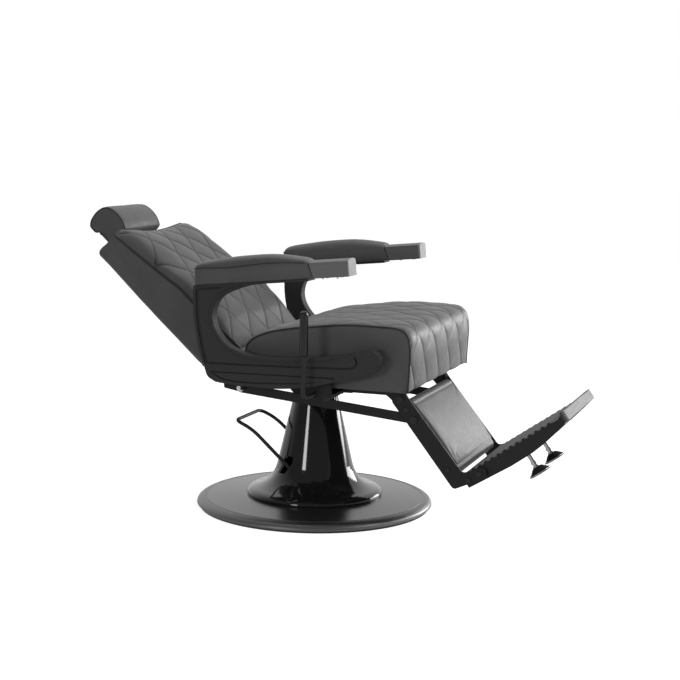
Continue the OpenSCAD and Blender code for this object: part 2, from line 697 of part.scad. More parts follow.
// Brackets that carry the arm frames on the seat frame
bracket_low_x = frame_x + flat_t + seat_gap;
bracket_rib_h = 10;
bracket_end_x = arm_x - seat_gap;
module arm_brackets() color(matte_black) difference() {
    for (i = [0, 1]) {
        low = [bracket_f[i] - bracket_w / 2, bracket_bar_z[i]];
        high = [bracket_f[i] + bracket_w / 2, bracket_bar_z[i] + bracket_bar_t];
        both_sides(bracket_low_x, bracket_end_x - bracket_low_x) rect(low, high);
        both_sides(bracket_end_x - bracket_bar_t, bracket_bar_t) rect(low, [high[0], bracket_top_z]);
        both_sides(bracket_low_x, flat_t) rect([low[0], plate_low_z], high);
        both_sides(bracket_low_x, bracket_end_x - bracket_low_x)
            rect([bracket_f[i] - flat_t / 2, low[1] - bracket_rib_h], [bracket_f[i] + flat_t / 2, high[1]]);
    }
    for (p = arm_bolt_places)
        xbar_pair(p, bracket_end_x - 2 * bracket_bar_t, 2 * bracket_bar_t + over, arm_bolt_r + fit);
}

arm_bolt_head_t = 5;
module arm_bolts() color(bright_steel) for (p = arm_bolt_places) {
    xbar_pair(p, bracket_end_x - bracket_bar_t - arm_bolt_head_t, arm_bolt_head_t,
        bolt_head_share * arm_bolt_r);
    xbar_pair(p, bracket_end_x - bracket_bar_t, bracket_bar_t + arm_bolt_run, arm_bolt_r);
}

// Arm pads: station along the pad, half width share, side height share and crown share
pad_sections = [[0, 0.8, 0.64, 0.03], [0.01, 0.92, 0.66, 0.08], [0.03, 1, 0.68, 0.13], [0.1, 1, 0.69, 0.2],
    [0.18, 1, 0.69, 0.25], [0.27, 1, 0.69, 0.28], [0.36, 1, 0.7, 0.3], [0.46, 1, 0.7, 0.31],
    [0.56, 1, 0.7, 0.31], [0.66, 1, 0.69, 0.3], [0.76, 1, 0.67, 0.27], [0.86, 1, 0.64, 0.22],
    [0.95, 1, 0.63, 0.15], [1, 1, 0.62, 0.1]];
pad_slant = 16;
pad_end_gap = 4;
pad_rear_f = pad_end_gap - arm_rear;
pad_side_bulge = 1;
pad_middle_share = 1 / 3;
crown_steps = 10;

function pad_ring(p, centre) =
    let (f = pad_rear_f + p[0] * pad_length, w = p[1] * pad_w / 2, h = p[2] * pad_h, crown = p[3] * pad_h,
        lean = pad_slant * pow(p[0], 3) / h)
    [for (q = concat([[-w, 0], [-w - pad_side_bulge, h / 2]],
        [for (k = [0 : crown_steps]) let (a = 180 * k / crown_steps)
            [-w * cos(a), h + crown * pow(sin(a), 0.8)]],
        [[w + pad_side_bulge, h / 2], [w, 0]]))
        [centre + q[0], lean * q[1] - f, pad_under(f) + q[1]]];

module arm_pad(s) color(leather_black) {
    rings = [for (p = pad_sections) pad_ring(p, s * pad_centre)];
    front = pad_rear_f + pad_length;
    front_share = pad_sections[len(pad_sections) - 1][2];
    skin(rings, [s * pad_centre, -pad_rear_f, pad_under(pad_rear_f) + pad_h * pad_middle_share],
        [s * pad_centre, pad_slant * pad_middle_share / front_share - front,
         pad_under(front) + pad_h * pad_middle_share]);
}
module arm_pad_right() arm_pad(-1);
module arm_pad_left() arm_pad(1);

// Metal caps ahead of the pads, built level and then turned to the slope
cap_crown = 5;
cap_nose = 4;
cap_nose_r = 3;
cap_slant = 12;
cap_screw_f = [26, 65];
cap_screw_r = 2.5;
cap_screw_run = 14;
cap_foot = pad_rear_f + pad_length + seat_gap;
module on_cap(s)
    translate([s * pad_centre, -cap_foot, pad_under(cap_foot)]) rotate([-pad_slope, 0, 0]) children();

module arm_cap(s) color(satin_grey) on_cap(s) difference() {
    intersection() {
        side(-pad_w / 2, pad_w) polygon([[0, 0], [cap_length, 0], [cap_length, cap_h], [-cap_slant, cap_h]]);
        translate([0, 0, -over]) linear_extrude(cap_h + 2 * over) polygon(rounded([
            [-pad_w / 2, 2 * cap_slant], [pad_w / 2, 2 * cap_slant], [pad_w / 2, cap_nose - cap_length],
            [pad_w / 2 - cap_nose, -cap_length], [cap_nose - pad_w / 2, -cap_length],
            [-pad_w / 2, cap_nose - cap_length]], [0, 0, cap_nose_r, cap_nose_r, cap_nose_r, cap_nose_r], 5));
        translate([0, 2 * cap_slant, 0]) rotate([90, 0, 0])
            linear_extrude(cap_length + 3 * cap_slant) polygon(concat([[-pad_w / 2, 0], [pad_w / 2, 0]],
            [for (k = [0 : crown_steps]) [pad_w / 2 * (1 - 2 * k / crown_steps),
                cap_h - cap_crown * pow(1 - 2 * k / crown_steps, 2)]]));
    }
    for (f = cap_screw_f) translate([0, -f, -over]) cylinder(r = cap_screw_r + fit, h = cap_screw_run + over);
}
module arm_cap_right() arm_cap(-1);
module arm_cap_left() arm_cap(1);

module cap_screws() color(satin_black)
    for (s = [-1, 1]) on_cap(s) for (f = cap_screw_f) translate([0, -f, 0]) {
        translate([0, 0, -cap_screw_r]) cylinder(r = screw_head_share * cap_screw_r, h = cap_screw_r);
        cylinder(r = cap_screw_r, h = cap_screw_run);
    }

// Backrest frame: places are [ahead of the hinge line, up the back]
function on_back(p) = back_hinge + p[0] * direction(back_lean) + p[1] * quarter_left(direction(back_lean));
pipe_shares = [[1, 0.008], [1, 0.04], [0.985, 0.1], [0.955, 0.165], [0.92, 0.265], [0.9, 0.395],
    [0.872, 0.49], [0.767, 0.58], [0.64, 0.71], [0.5, 0.845], [0.384, 0.984]];
pipe = [for (p = pipe_shares) [p[0] * back_front_n, p[1] * back_length]];
rear_shares = [[0.4, 1], [0.93, 1], [1, 0.975], [1, 0.785], [0.94, 0.53], [0.826, 0.28], [0.72, 0.085]];
rear_line = [for (p = rear_shares) [-p[0] * back_rear_n, p[1] * back_length]];
back_edge_t = 6;
back_corner_r = 26;
function back_half(s) = (back_low_w + (back_top_w - back_low_w) * s / back_length) / 2;
module in_back() translate([0, -back_hinge[0], back_hinge[1]]) rotate([-back_lean, 0, 0]) children();

// Flat end of the backrest, where the brackets are bolted on
end_rear = rear_line[len(rear_line) - 1];
end_run = unit(pipe[0] - [back_edge_t, 0] - end_rear);
function on_end(p) = on_back(end_rear + p[0] * end_run + p[1] * quarter_left(end_run));
end_angle = atan2(end_run[1], end_run[0]);
module in_end() in_back() translate([0, -end_rear[0], end_rear[1]]) rotate([-end_angle, 0, 0]) children();
bracket_bolt_places = [30, 66];
bracket_bolt_x = 158;
bracket_bolt_r = 4;
bracket_bolt_run = 16;
module end_bolts(r, low, high) in_end() for (e = bracket_bolt_places) for (s = [-1, 1])
    translate([s * bracket_bolt_x, -e, low]) cylinder(r = r, h = high - low);

// Guide of the headrest bar on the rear face
bar_gap = 15;
bar_front_n = -back_rear_n - bar_gap;
bar_rear_n = bar_front_n - head_bar_t;
bar_mid_n = (bar_front_n + bar_rear_n) / 2;
guide_low_s = 370;
guide_high_s = 470;
guide_wall = 6;
wing_w = 18;
guide_half = head_bar_w / 2 + guide_wall;
guide_bolt_s = [395, 445];
module guide_bolts(r, low, high) in_back() for (z = guide_bolt_s) for (s = [-1, 1])
    translate([s * (guide_half + wing_w / 2), back_rear_n + low, z]) rotate([-90, 0, 0])
    cylinder(r = r, h = high - low);

module back_shell() color(leather_black) difference() {
    intersection() {
        side(-back_low_w, 2 * back_low_w) polygon([for (p = concat(
            [for (p = pipe) p - [back_edge_t, 0]], rear_line)) on_back(p)]);
        in_back() translate([0, back_length, 0]) rotate([90, 0, 0]) linear_extrude(2 * back_length)
            polygon(rounded([
                [-back_half(-back_edge_t), -back_length / 4], [back_half(-back_edge_t), -back_length / 4],
                [back_half(back_length), back_length + over], [-back_half(back_length), back_length + over]],
                [0, 0, back_corner_r, back_corner_r]));
    }
    end_bolts(bracket_bolt_r + fit, -over, bracket_bolt_run);
    guide_bolts(bracket_bolt_r + fit, -bracket_bolt_run, over);
}

// Quilted front of the backrest. A ring runs across the back and returns
// along the flat underside. Crown shares run from the bottom to the top.
back_diamonds = 4;
back_rows = 4;
back_edge_r = 60;
crown_shares = [[0, 0], [0.05, 0.12], [0.1, 0.36], [0.17, 0.72], [0.25, 0.9], [0.33, 1], [0.6, 0.92],
    [0.8, 0.98], [0.88, 0.95], [0.93, 0.8], [0.97, 0.5], [1, 0]];
back_line = even(smooth(pipe, 3), back_rows * pitch);

module back_cushion() color(leather_black) in_back() {
    across = back_diamonds * pitch;
    last = len(back_line) - 1;
    rings = [for (j = [0 : last])
        let (p = back_line[j], w = back_half(p[1]) - (j == last ? back_edge_t : 0),
            out = -quarter_left(unit(back_line[min(j + 1, last)] - back_line[max(j - 1, 0)])),
            crown = back_crown * lookup(j / last, crown_shares),
            depth = quilt_depth * min(1, j / pitch, (last - j) / pitch))
        concat([for (i = [0 : across])
            at(w * (2 * i / across - 1), p + out * quilted(i, j, across, crown, w / back_edge_r, depth))],
            [at(w, p - [back_edge_t - seat_gap, 0]), at(-w, p - [back_edge_t - seat_gap, 0])])];
    skin(rings, at(0, back_line[0] - [back_edge_t / 2, 0]), at(0, back_line[last] - [back_edge_t / 2, 0]),
        pitch);
}

// Hinge brackets of the backrest, which are also the cranks of the linkage
bracket_boss_r = 18;
crank_boss_r = 13;
bracket_flange_t = 5;
bracket_flange_w = 42;
bracket_flange = [14, 82];
bracket_corner_place = [-14, -55];
bracket_corner_r = 4;
boss_rear_arc = [170, 200];
boss_front_arc = [-10, 20];
crank_arc = [-95, 40];

module back_brackets() color(matte_black) difference() {
    union() {
        both_sides(bracket_x, flat_t) polygon(concat(
            [on_end([bracket_flange[1], -seat_gap]), on_end([bracket_flange[0], -seat_gap])],
            ear_arc(back_hinge, bracket_boss_r, boss_rear_arc, 3),
            corner(back_hinge + bracket_boss_r * direction(boss_rear_arc[1]),
                back_hinge + bracket_corner_place, back_pin - [0, crank_boss_r], bracket_corner_r, 4),
            ear_arc(back_pin, crank_boss_r, crank_arc),
            ear_arc(back_hinge, bracket_boss_r, boss_front_arc, 3)));
        both_sides(bracket_x + flat_t - bracket_flange_w, bracket_flange_w) polygon([
            on_end([bracket_flange[0], -seat_gap]), on_end([bracket_flange[1], -seat_gap]),
            on_end([bracket_flange[1], -seat_gap - bracket_flange_t]),
            on_end([bracket_flange[0], -seat_gap - bracket_flange_t])]);
    }
    for (place = [back_hinge, back_pin])
        xbar_pair(place, bracket_x - over, flat_t + 2 * over, pin_d / 2 + fit);
    end_bolts(bracket_bolt_r + fit, -3 * bracket_flange_t, 0);
}

module bracket_bolts() color(bright_steel) {
    head_r = bolt_head_share * bracket_bolt_r;
    head_z = seat_gap + guide_wall;
    end_bolts(bracket_bolt_r, -seat_gap - bracket_flange_t, bracket_bolt_run - over);
    end_bolts(head_r, -seat_gap - 2 * bracket_flange_t, -seat_gap - bracket_flange_t);
    guide_bolts(bracket_bolt_r, over - bracket_bolt_run, head_z);
    guide_bolts(head_r, head_z, head_z + bracket_bolt_r);
}

module crank_shaft() color(bright_steel) {
    end_x = link_x + flat_t + seat_gap;
    xbar(back_pin, -end_x, 2 * end_x, pin_d / 2);
    xbar_pair(back_pin, end_x, hinge_head_t, head_r);
}

// Sleeve of the headrest bar, with wings bolted to the backrest
module headrest_guide() color(satin_black) difference() {
    union() {
        side(-guide_half, 2 * guide_half) polygon([for (p = [
            [-back_rear_n - seat_gap, guide_low_s], [-back_rear_n - seat_gap, guide_high_s],
            [bar_rear_n - guide_wall, guide_high_s], [bar_rear_n - guide_wall, guide_low_s]]) on_back(p)]);
        side(-guide_half - wing_w, 2 * guide_half + 2 * wing_w) polygon([for (p = [
            [-back_rear_n - seat_gap, guide_low_s + guide_wall],
            [-back_rear_n - seat_gap, guide_high_s - guide_wall],
            [-back_rear_n - seat_gap - guide_wall, guide_high_s - guide_wall],
            [-back_rear_n - seat_gap - guide_wall, guide_low_s + guide_wall]]) on_back(p)]);
    }
    side(-head_bar_w / 2 - fit, head_bar_w + 2 * fit) polygon([for (p = [
        [bar_rear_n - fit, guide_low_s - over], [bar_front_n + fit, guide_low_s - over],
        [bar_front_n + fit, guide_high_s + over], [bar_rear_n - fit, guide_high_s + over]]) on_back(p)]);
    guide_bolts(bracket_bolt_r + fit, -over, 2 * guide_wall);
}

// Headrest: bar with a rounded end, hinge bracket with its pin, and pad
bar_hold = 40;
tilt_rise = 72;
bar_low_s = guide_high_s - head_travel - bar_hold;
tilt_s = back_length + head_gap + tilt_rise;
tilt_place = [bar_mid_n, tilt_s];
tilt_pin_r = 4;
cheek_t = 4;
cheek_x = head_bar_w / 2 + seat_gap;
hinge_plate_t = 3.5;
hinge_plate_drop = 2;
bar_end_arc = [0, 180];
cheek_arc = [120, 300];
module headrest_bar() color(satin_grey) difference() {
    side(-head_bar_w / 2, head_bar_w) polygon([for (p = concat(
        [[bar_rear_n, bar_low_s], [bar_front_n, bar_low_s]],
        ear_arc(tilt_place, head_bar_t / 2, bar_end_arc, 14))) on_back(p)]);
    xbar(on_back(tilt_place), -head_bar_w, 2 * head_bar_w, tilt_pin_r + fit);
}

module headrest_hinge() color(satin_black) {
    plate_n = bar_front_n + over;
    side(-cheek_x - cheek_t, 2 * cheek_x + 2 * cheek_t) polygon([for (p = [
        [plate_n, tilt_s - hinge_plate_drop], [plate_n + hinge_plate_t, tilt_s - hinge_plate_drop],
        [plate_n + hinge_plate_t, tilt_s + head_bar_t], [plate_n, tilt_s + head_bar_t]]) on_back(p)]);
    both_sides(cheek_x, cheek_t) polygon([for (p = concat(
        ear_arc(tilt_place, head_bar_t / 2 - over, cheek_arc),
        [[plate_n + hinge_plate_t, tilt_s - hinge_plate_drop],
         [plate_n + hinge_plate_t, tilt_s + head_bar_t]])) on_back(p)]);
    xbar(on_back(tilt_place), -cheek_x - 2 * cheek_t, 2 * cheek_x + 4 * cheek_t, tilt_pin_r);
}

// Side view of the headrest pad as shares of its thickness and height, and its sections
head_shares = [[0.13, 0], [0.03, 0.08], [0.02, 0.49], [-0.095, 0.62], [-0.11, 0.75], [-0.08, 0.88],
    [0.09, 0.97], [0.33, 1], [0.55, 0.97], [0.72, 0.89], [0.83, 0.72], [0.87, 0.5], [0.85, 0.28],
    [0.77, 0.09], [0.66, 0]];
head_sections = [[-1, 0.88], [-0.975, 0.96], [-0.92, 1], [-0.6, 1.015], [-0.2, 1.02], [0.2, 1.02],
    [0.6, 1.015], [0.92, 1], [0.975, 0.96], [1, 0.88]];
module headrest_pad() color(leather_black) {
    low = [-back_rear_n + over, back_length + head_gap];
    middle = low + [head_t / 3, head_length / 2];
    line = smooth([for (p = head_shares) low + [p[0] * head_t, p[1] * head_length]], 2);
    rings = [for (q = head_sections) [for (p = line)
        at(q[0] * head_w / 2, on_back(middle + (p - middle) * q[1]))]];
    skin(rings, at(-head_w / 2, on_back(middle)), at(head_w / 2, on_back(middle)));
}

// Link bars, open with play at their front pins
open_play = 0.4;
module link_bar(s) color(matte_black) difference() {
    on_side(s, link_x, flat_t) polygon(bar_outline(back_pin, leg_pin, link_w / 2));
    xbar(back_pin, s > 0 ? link_x - over : -link_x - flat_t - over, flat_t + 2 * over, pin_d / 2 + fit);
    xbar(leg_pin, s > 0 ? link_x - over : -link_x - flat_t - over, flat_t + 2 * over, pin_d / 2 + open_play);
}
module link_bar_right() link_bar(-1);
module link_bar_left() link_bar(1);

// Locking gas spring from the seat frame to the crank shaft
gas_way = unit(back_pin - gas_pivot);
gas_reach = norm(back_pin - gas_pivot);
gas_r = 11;
gas_neck_r = 6;
gas_bore_r = 8;
gas_rod_r = 4;
gas_tube_length = 180;
gas_wall = 5;
gas_rod_in = 110;
gas_play = 2.7;
module in_gas() translate([gas_x, -gas_pivot[0], gas_pivot[1]])
    rotate([atan2(gas_way[0], gas_way[1]), 0, 0]) children();

module gas_tube() color(satin_black) difference() {
    union() {
        in_gas() rotate_extrude() polygon([
            [0, gas_eye_r - gas_wall / 2], [gas_neck_r, gas_eye_r - gas_wall / 2],
            [gas_neck_r, gas_eye_r + gas_wall], [gas_r, gas_eye_r + gas_wall], [gas_r, gas_tube_length],
            [gas_rod_r + fit, gas_tube_length], [gas_rod_r + fit, gas_tube_length - gas_wall],
            [gas_bore_r + fit, gas_tube_length - gas_wall], [gas_bore_r + fit, gas_eye_r + 2 * gas_wall],
            [0, gas_eye_r + 2 * gas_wall]]);
        xbar(gas_pivot, gas_x - gas_eye_w / 2, gas_eye_w, gas_eye_r);
    }
    xbar(gas_pivot, gas_x - gas_eye_w, 2 * gas_eye_w, pin_d / 2 + fit);
}

module gas_rod() color(bright_steel) difference() {
    union() {
        in_gas() rotate_extrude() polygon([
            [0, gas_rod_in], [gas_bore_r, gas_rod_in], [gas_bore_r, gas_rod_in + gas_eye_w],
            [gas_rod_r, gas_rod_in + gas_eye_w], [gas_rod_r, gas_reach - gas_eye_r + over],
            [0, gas_reach - gas_eye_r + over]]);
        xbar(back_pin, gas_x - gas_eye_w / 2, gas_eye_w, gas_eye_r);
    }
    xbar(back_pin, gas_x - gas_eye_w, 2 * gas_eye_w, pin_d / 2 + gas_play);
}

module gas_pin() color(bright_steel) {
    pin_run = gas_eye_w / 2 + over + lug_t + over;
    xbar(gas_pivot, gas_x - pin_run, 2 * pin_run, pin_d / 2);
    xbar(gas_pivot, gas_x + pin_run, hinge_head_t, head_r);
}

// Leg rest: places on a side arm are [ahead of its middle line, up towards its hinge]
module in_leg() translate([0, -leg_hinge[0], leg_hinge[1]]) rotate([leg_angle - 90, 0, 0]) children();
function on_leg(p) =
    leg_hinge + p[0] * direction(90 - leg_angle) + p[1] * quarter_left(direction(90 - leg_angle));
knee = on_leg([-leg_arm_w / 2, -leg_length]);
function on_foot(p) = knee + p[0] * direction(foot_angle) + p[1] * quarter_left(direction(foot_angle));
leg_boss_r = 22;
foot_arm_end = 104;
foot_arm_top = 10;
foot_arm_drop = 18;
foot_bolt_places = [48, 82];
calf_bolt_drops = [31, 220];
calf_bolt_r = 3;
knee_r = 12;
leg_boss_arc = [25, 230];
foot_arm_chamfer = [9, 7];
foot_arm_radii = [5, 6, 3];
inner_corner_place = [45, 24];

module leg_arm(s) color(matte_black) difference() {
    toe_low = on_foot([foot_arm_end - foot_arm_chamfer[0], -foot_arm_drop]);
    toe = on_foot([foot_arm_end, 0]);
    toe_high = on_foot([foot_arm_end - foot_arm_chamfer[1], foot_arm_top]);
    inner = on_foot(inner_corner_place);
    x = s > 0 ? leg_arm_x - over : -leg_arm_x - flat_t - over;
    on_side(s, leg_arm_x, flat_t) polygon(concat(
        ear_arc(leg_hinge, leg_boss_r, leg_boss_arc, 16),
        corner(on_leg([-leg_arm_w / 2, -leg_boss_r]), knee, toe_low, knee_r, 5),
        corner(knee, toe_low, toe, foot_arm_radii[0], 3),
        corner(toe_low, toe, toe_high, foot_arm_radii[1], 3),
        corner(toe, toe_high, inner, foot_arm_radii[2], 2),
        corner(toe_high, inner, on_leg([leg_arm_w / 2, -leg_boss_r]), knee_r, 5)));
    for (p = [leg_hinge, leg_pin]) xbar(p, x, flat_t + 2 * over, pin_d / 2 + fit);
    for (d = calf_bolt_drops) xbar(on_leg([calf_bolt_n, -d]), x, flat_t + 2 * over, calf_bolt_r + fit);
    for (c = foot_bolt_places) xbar(on_foot([c, 0]), x, flat_t + 2 * over, arm_bolt_r + fit);
}
module leg_arm_right() leg_arm(-1);
module leg_arm_left() leg_arm(1);

module link_pins() color(bright_steel) {
    inner = link_x - seat_gap;
    xbar_pair(leg_pin, inner, leg_arm_x + flat_t + seat_gap - inner, pin_d / 2);
    xbar_pair(leg_pin, leg_arm_x + flat_t + seat_gap, hinge_head_t, head_r);
}

// Calf board and pad, with their sewn channels
calf_board_t = 14;
calf_front_n = 24;
calf_board_n = calf_front_n - calf_t;
calf_bolt_n = calf_board_n + calf_board_t / 2 + over;
calf_high = -10;
calf_low = -245;
calf_half = link_x - over;
sleeve_r = 6;

module calf_board() color(matte_black) difference() {
    side(-calf_half, 2 * calf_half) polygon([for (p = [[calf_board_n, calf_low], [calf_board_n, calf_high],
        [calf_board_n + calf_board_t, calf_high], [calf_board_n + calf_board_t, calf_low]]) on_leg(p)]);
    for (d = calf_bolt_drops)
        xbar_pair(on_leg([calf_bolt_n, -d]), calf_half - arm_bolt_run, arm_bolt_run + over,
            calf_bolt_r + fit);
}

calf_shares = [[0, 0], [0.55, 0.002], [0.82, 0.012], [0.96, 0.04], [1, 0.09], [0.99, 0.12], [0.86, 0.135],
    [0.99, 0.15], [1.02, 0.3], [1.03, 0.5], [1.02, 0.7], [0.99, 0.85], [0.86, 0.865], [0.99, 0.88], [1, 0.91],
    [0.96, 0.96], [0.82, 0.988], [0.55, 0.998], [0, 1]];
calf_sections = [[-1, 0.55], [-0.99, 0.8], [-0.965, 0.96], [-0.93, 1], [-0.5, 1], [0, 1], [0.5, 1], [0.93, 1],
    [0.965, 0.96], [0.99, 0.8], [1, 0.55]];
module calf_pad() color(leather_black) {
    base_n = calf_board_n + calf_board_t + seat_gap;
    line = smooth(calf_shares, 2);
    rings = [for (q = calf_sections) [for (p = line) at(q[0] * calf_half, on_leg([
        base_n + max(0, p[0]) * q[1] * (calf_front_n - base_n), calf_low + p[1] * (calf_high - calf_low)]))]];
    middle = on_leg([base_n + (calf_front_n - base_n) / 4, (calf_low + calf_high) / 2]);
    skin(rings, at(-calf_half, middle), at(calf_half, middle));
}

module calf_screws() color(satin_black) for (d = calf_bolt_drops) {
    place = on_leg([calf_bolt_n, -d]);
    xbar_pair(place, calf_half - arm_bolt_run + over,
        leg_arm_x + flat_t - calf_half + arm_bolt_run - over, calf_bolt_r);
    xbar_pair(place, leg_arm_x + flat_t, calf_bolt_r, 2 * calf_bolt_r);
    xbar_pair(place, calf_half + seat_gap, leg_arm_x - calf_half - 2 * seat_gap, sleeve_r);
}

// Foot plate: ribbed on top, tapering underneath towards the toe
foot_w = 2 * (leg_arm_x - foot_side_gap);
foot_rear = 36;
foot_top = 21;
foot_ribs = 14;
foot_wall = 6;
foot_side_wall = 18;
foot_web = 10;
foot_boss_r = 16;
rib_w = 11;
toe_w = 12;
toe_rise = 7;
toe_r = 14;
toe_edge_r = 3;
foot_end = foot_rear + foot_length;
foot_shares = [[0, 0.84], [0.4, 1], [0.6, 0.98], [0.73, 0.87], [0.86, 0.69], [0.963, 0.52]];
module foot_plate() color(matte_black) difference() {
    union() {
        side(-foot_w / 2, foot_w) polygon([for (p = concat(
            [for (q = foot_shares) [foot_rear + q[0] * foot_length, foot_top - q[1] * foot_t]],
            [[foot_end - toe_w - seat_gap, foot_top - foot_t / 2], [foot_end - toe_w - seat_gap, foot_top],
             [foot_end - 2 * toe_w, foot_top - foot_rib_h],
             [foot_rear, foot_top - foot_rib_h]])) on_foot(p)]);
        pitch_c = (foot_length - 4 * toe_w) / foot_ribs;
        for (k = [0 : foot_ribs - 1]) let (c = foot_rear + toe_w + k * pitch_c)
            side(-foot_w / 2 + over, foot_w - 2 * over) polygon([for (p = concat(
                [[c, foot_top - 2 * foot_rib_h], [c + rib_w, foot_top - 2 * foot_rib_h]],
                [for (a = [0 : 30 : 180])
                    [c + rib_w / 2 * (1 + cos(a)), foot_top - foot_rib_h * (1 - sin(a))]])) on_foot(p)]);
    }
    for (c = foot_bolt_places)
        xbar_pair(on_foot([c, 0]), foot_w / 2 - arm_bolt_run, arm_bolt_run + over, arm_bolt_r + fit);
    foot_cut(-foot_t, rod_top, foot_rod_r + fit);
    difference() {
        side(foot_side_wall - foot_w / 2, foot_w - 2 * foot_side_wall) polygon([for (p = [
            [foot_rear + foot_wall, foot_top - 2 * foot_t],
            [foot_rear + foot_wall, foot_top - foot_rib_h - foot_wall],
            [foot_end - 4 * toe_w, foot_top - foot_rib_h - foot_wall],
            [foot_end - 4 * toe_w, foot_top - 2 * foot_t]]) on_foot(p)]);
        foot_cut(-2 * foot_t, foot_top, foot_boss_r);
        side(-foot_web / 2, foot_web) polygon([for (p = [[foot_rear, -2 * foot_t], [foot_rear, foot_top],
            [foot_end, foot_top], [foot_end, -2 * foot_t]]) on_foot(p)]);
    }
}

// Chrome feet under the foot plate
foot_rod_c = 193;
foot_rod_r = 7.5;
rod_top = -8;
cup_low = -85;
cup_rise = 20;
cup_top_r = 14;
cup_wall = 4;
ring_low = -56;
ring_high = -48;
ring_w = 2;
module in_foot() translate([0, -knee[0], knee[1]]) rotate([-foot_angle, 0, 0]) children();
module foot_cut(low, high, r) in_foot() for (s = [-1, 1])
    translate([s * feet_span / 2, -foot_rod_c, low]) cylinder(r = r, h = high - low);

module foot_rods() color(bright_steel) in_foot() for (s = [-1, 1])
    translate([s * feet_span / 2, -foot_rod_c, 0]) rotate_extrude() polygon([
        [0, cup_low + cup_wall], [foot_rod_r, cup_low + cup_wall], [foot_rod_r, ring_low],
        [foot_rod_r + ring_w, ring_low], [foot_rod_r + ring_w, ring_high], [foot_rod_r, ring_high],
        [foot_rod_r, rod_top - over], [0, rod_top - over]]);

module foot_cups() color(satin_black) in_foot() for (s = [-1, 1])
    translate([s * feet_span / 2, -foot_rod_c, cup_low]) rotate_extrude() polygon(concat(
        [[foot_rod_r + fit, 0], [cup_d / 2, 0]],
        [for (t = [0 : 0.2 : 1])
            [cup_d / 2 + t * (cup_top_r - cup_d / 2), cup_wall + (cup_rise - cup_wall) * pow(t, 0.8)]],
        [[foot_rod_r + fit, cup_rise]]));

module toe_trim() color(satin_grey) intersection() {
    side(-foot_w / 2, foot_w) polygon([for (p = rounded([
        [foot_end - toe_w, foot_top + toe_rise - toe_t], [foot_end, foot_top + toe_rise - toe_t],
        [foot_end, foot_top + toe_rise], [foot_end - toe_w, foot_top + toe_rise]],
        [0, toe_edge_r, toe_edge_r, 0], 4)) on_foot(p)]);
    in_foot() translate([0, 0, -foot_length]) linear_extrude(2 * foot_length) polygon(rounded([
        [-foot_w / 2, 0], [foot_w / 2, 0], [foot_w / 2, -foot_end], [-foot_w / 2, -foot_end]],
        [0, 0, toe_r, toe_r]));
}

module foot_bolts() color(bright_steel) for (c = foot_bolt_places) {
    inner = foot_w / 2 - arm_bolt_run + over;
    xbar_pair(on_foot([c, 0]), inner, leg_arm_x + flat_t - inner, arm_bolt_r);
    xbar_pair(on_foot([c, 0]), leg_arm_x + flat_t, arm_bolt_r, bolt_head_share * arm_bolt_r);
}

// Recline lever: a shaft under the seat, a bend and an upright with its grip
lever_bend_r = 20;
lever_step = 0.1;
bend_overlap = 1;
grip_chamfer = 2;
lever_inner_x = -58;
lever_cam_t = 12;
lever_cam_r = 7.7;
lever_cam_drop = 26;
lever_r = lever_d / 2;
module lever_rod() color(satin_black) {
    xbar(lever_shaft, lever_bend_r - lever_x, lever_x - lever_bend_r + lever_inner_x, lever_r);
    translate([lever_bend_r - lever_x, -lever_shaft[0], lever_shaft[1] + lever_bend_r]) rotate([90, 0, 0])
        rotate([0, 0, 180 - bend_overlap]) rotate_extrude(angle = 90 + 2 * bend_overlap)
        translate([lever_bend_r, 0]) circle(r = lever_r - lever_step);
    translate([-lever_x, -lever_shaft[0], lever_shaft[1] + lever_bend_r])
        cylinder(r = lever_r, h = lever_top_z - grip_d / 2 - lever_shaft[1] - lever_bend_r);
}

module lever_grip() color(satin_black)
    translate([-lever_x, -lever_shaft[0], lever_top_z - grip_length]) rotate_extrude() polygon(concat(
        [[lever_r + fit, 0], [grip_d / 2 - grip_chamfer, 0], [grip_d / 2, grip_chamfer]],
        [for (a = [0 : 10 : 90]) [grip_d / 2 * cos(a), grip_length - grip_d / 2 * (1 - sin(a))]],
        [[0, grip_length - grip_d / 2 + seat_gap], [lever_r + fit, grip_length - grip_d / 2 + seat_gap]]));

module lever_cam() color(bright_steel) difference() {
    side(lever_inner_x - 2 * lever_cam_t, lever_cam_t) polygon(bar_outline(lever_shaft,
        lever_shaft - [0, lever_cam_drop], lever_cam_r));
    xbar(lever_shaft, lever_inner_x - 3 * lever_cam_t, 3 * lever_cam_t, lever_r + fit);
}

base_plate();
base_rim();
pump_housing();
pump_cylinder();
cylinder_gland();
pump_block();
pedal_pins();
foot_pedal();
ram();
swivel_bearing();
swivel_head();
seat_frame();
seat_board();
seat_cushion();
arm_brackets();
arm_frame_right();
arm_frame_left();
arm_bolts();
arm_pad_right();
arm_pad_left();
arm_cap_right();
arm_cap_left();
cap_screws();
hinge_pins();
back_shell();
back_cushion();
back_brackets();
bracket_bolts();
crank_shaft();
headrest_guide();
headrest_bar();
headrest_hinge();
headrest_pad();
link_bar_right();
link_bar_left();
gas_tube();
gas_rod();
gas_pin();
leg_arm_right();
leg_arm_left();
link_pins();
calf_board();
calf_pad();
calf_screws();
foot_plate();
toe_trim();
foot_bolts();
foot_rods();
foot_cups();
lever_rod();
lever_grip();
lever_cam();
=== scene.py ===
import math
import json
import bpy
import bmesh
import numpy as np
from mathutils import Matrix, Vector

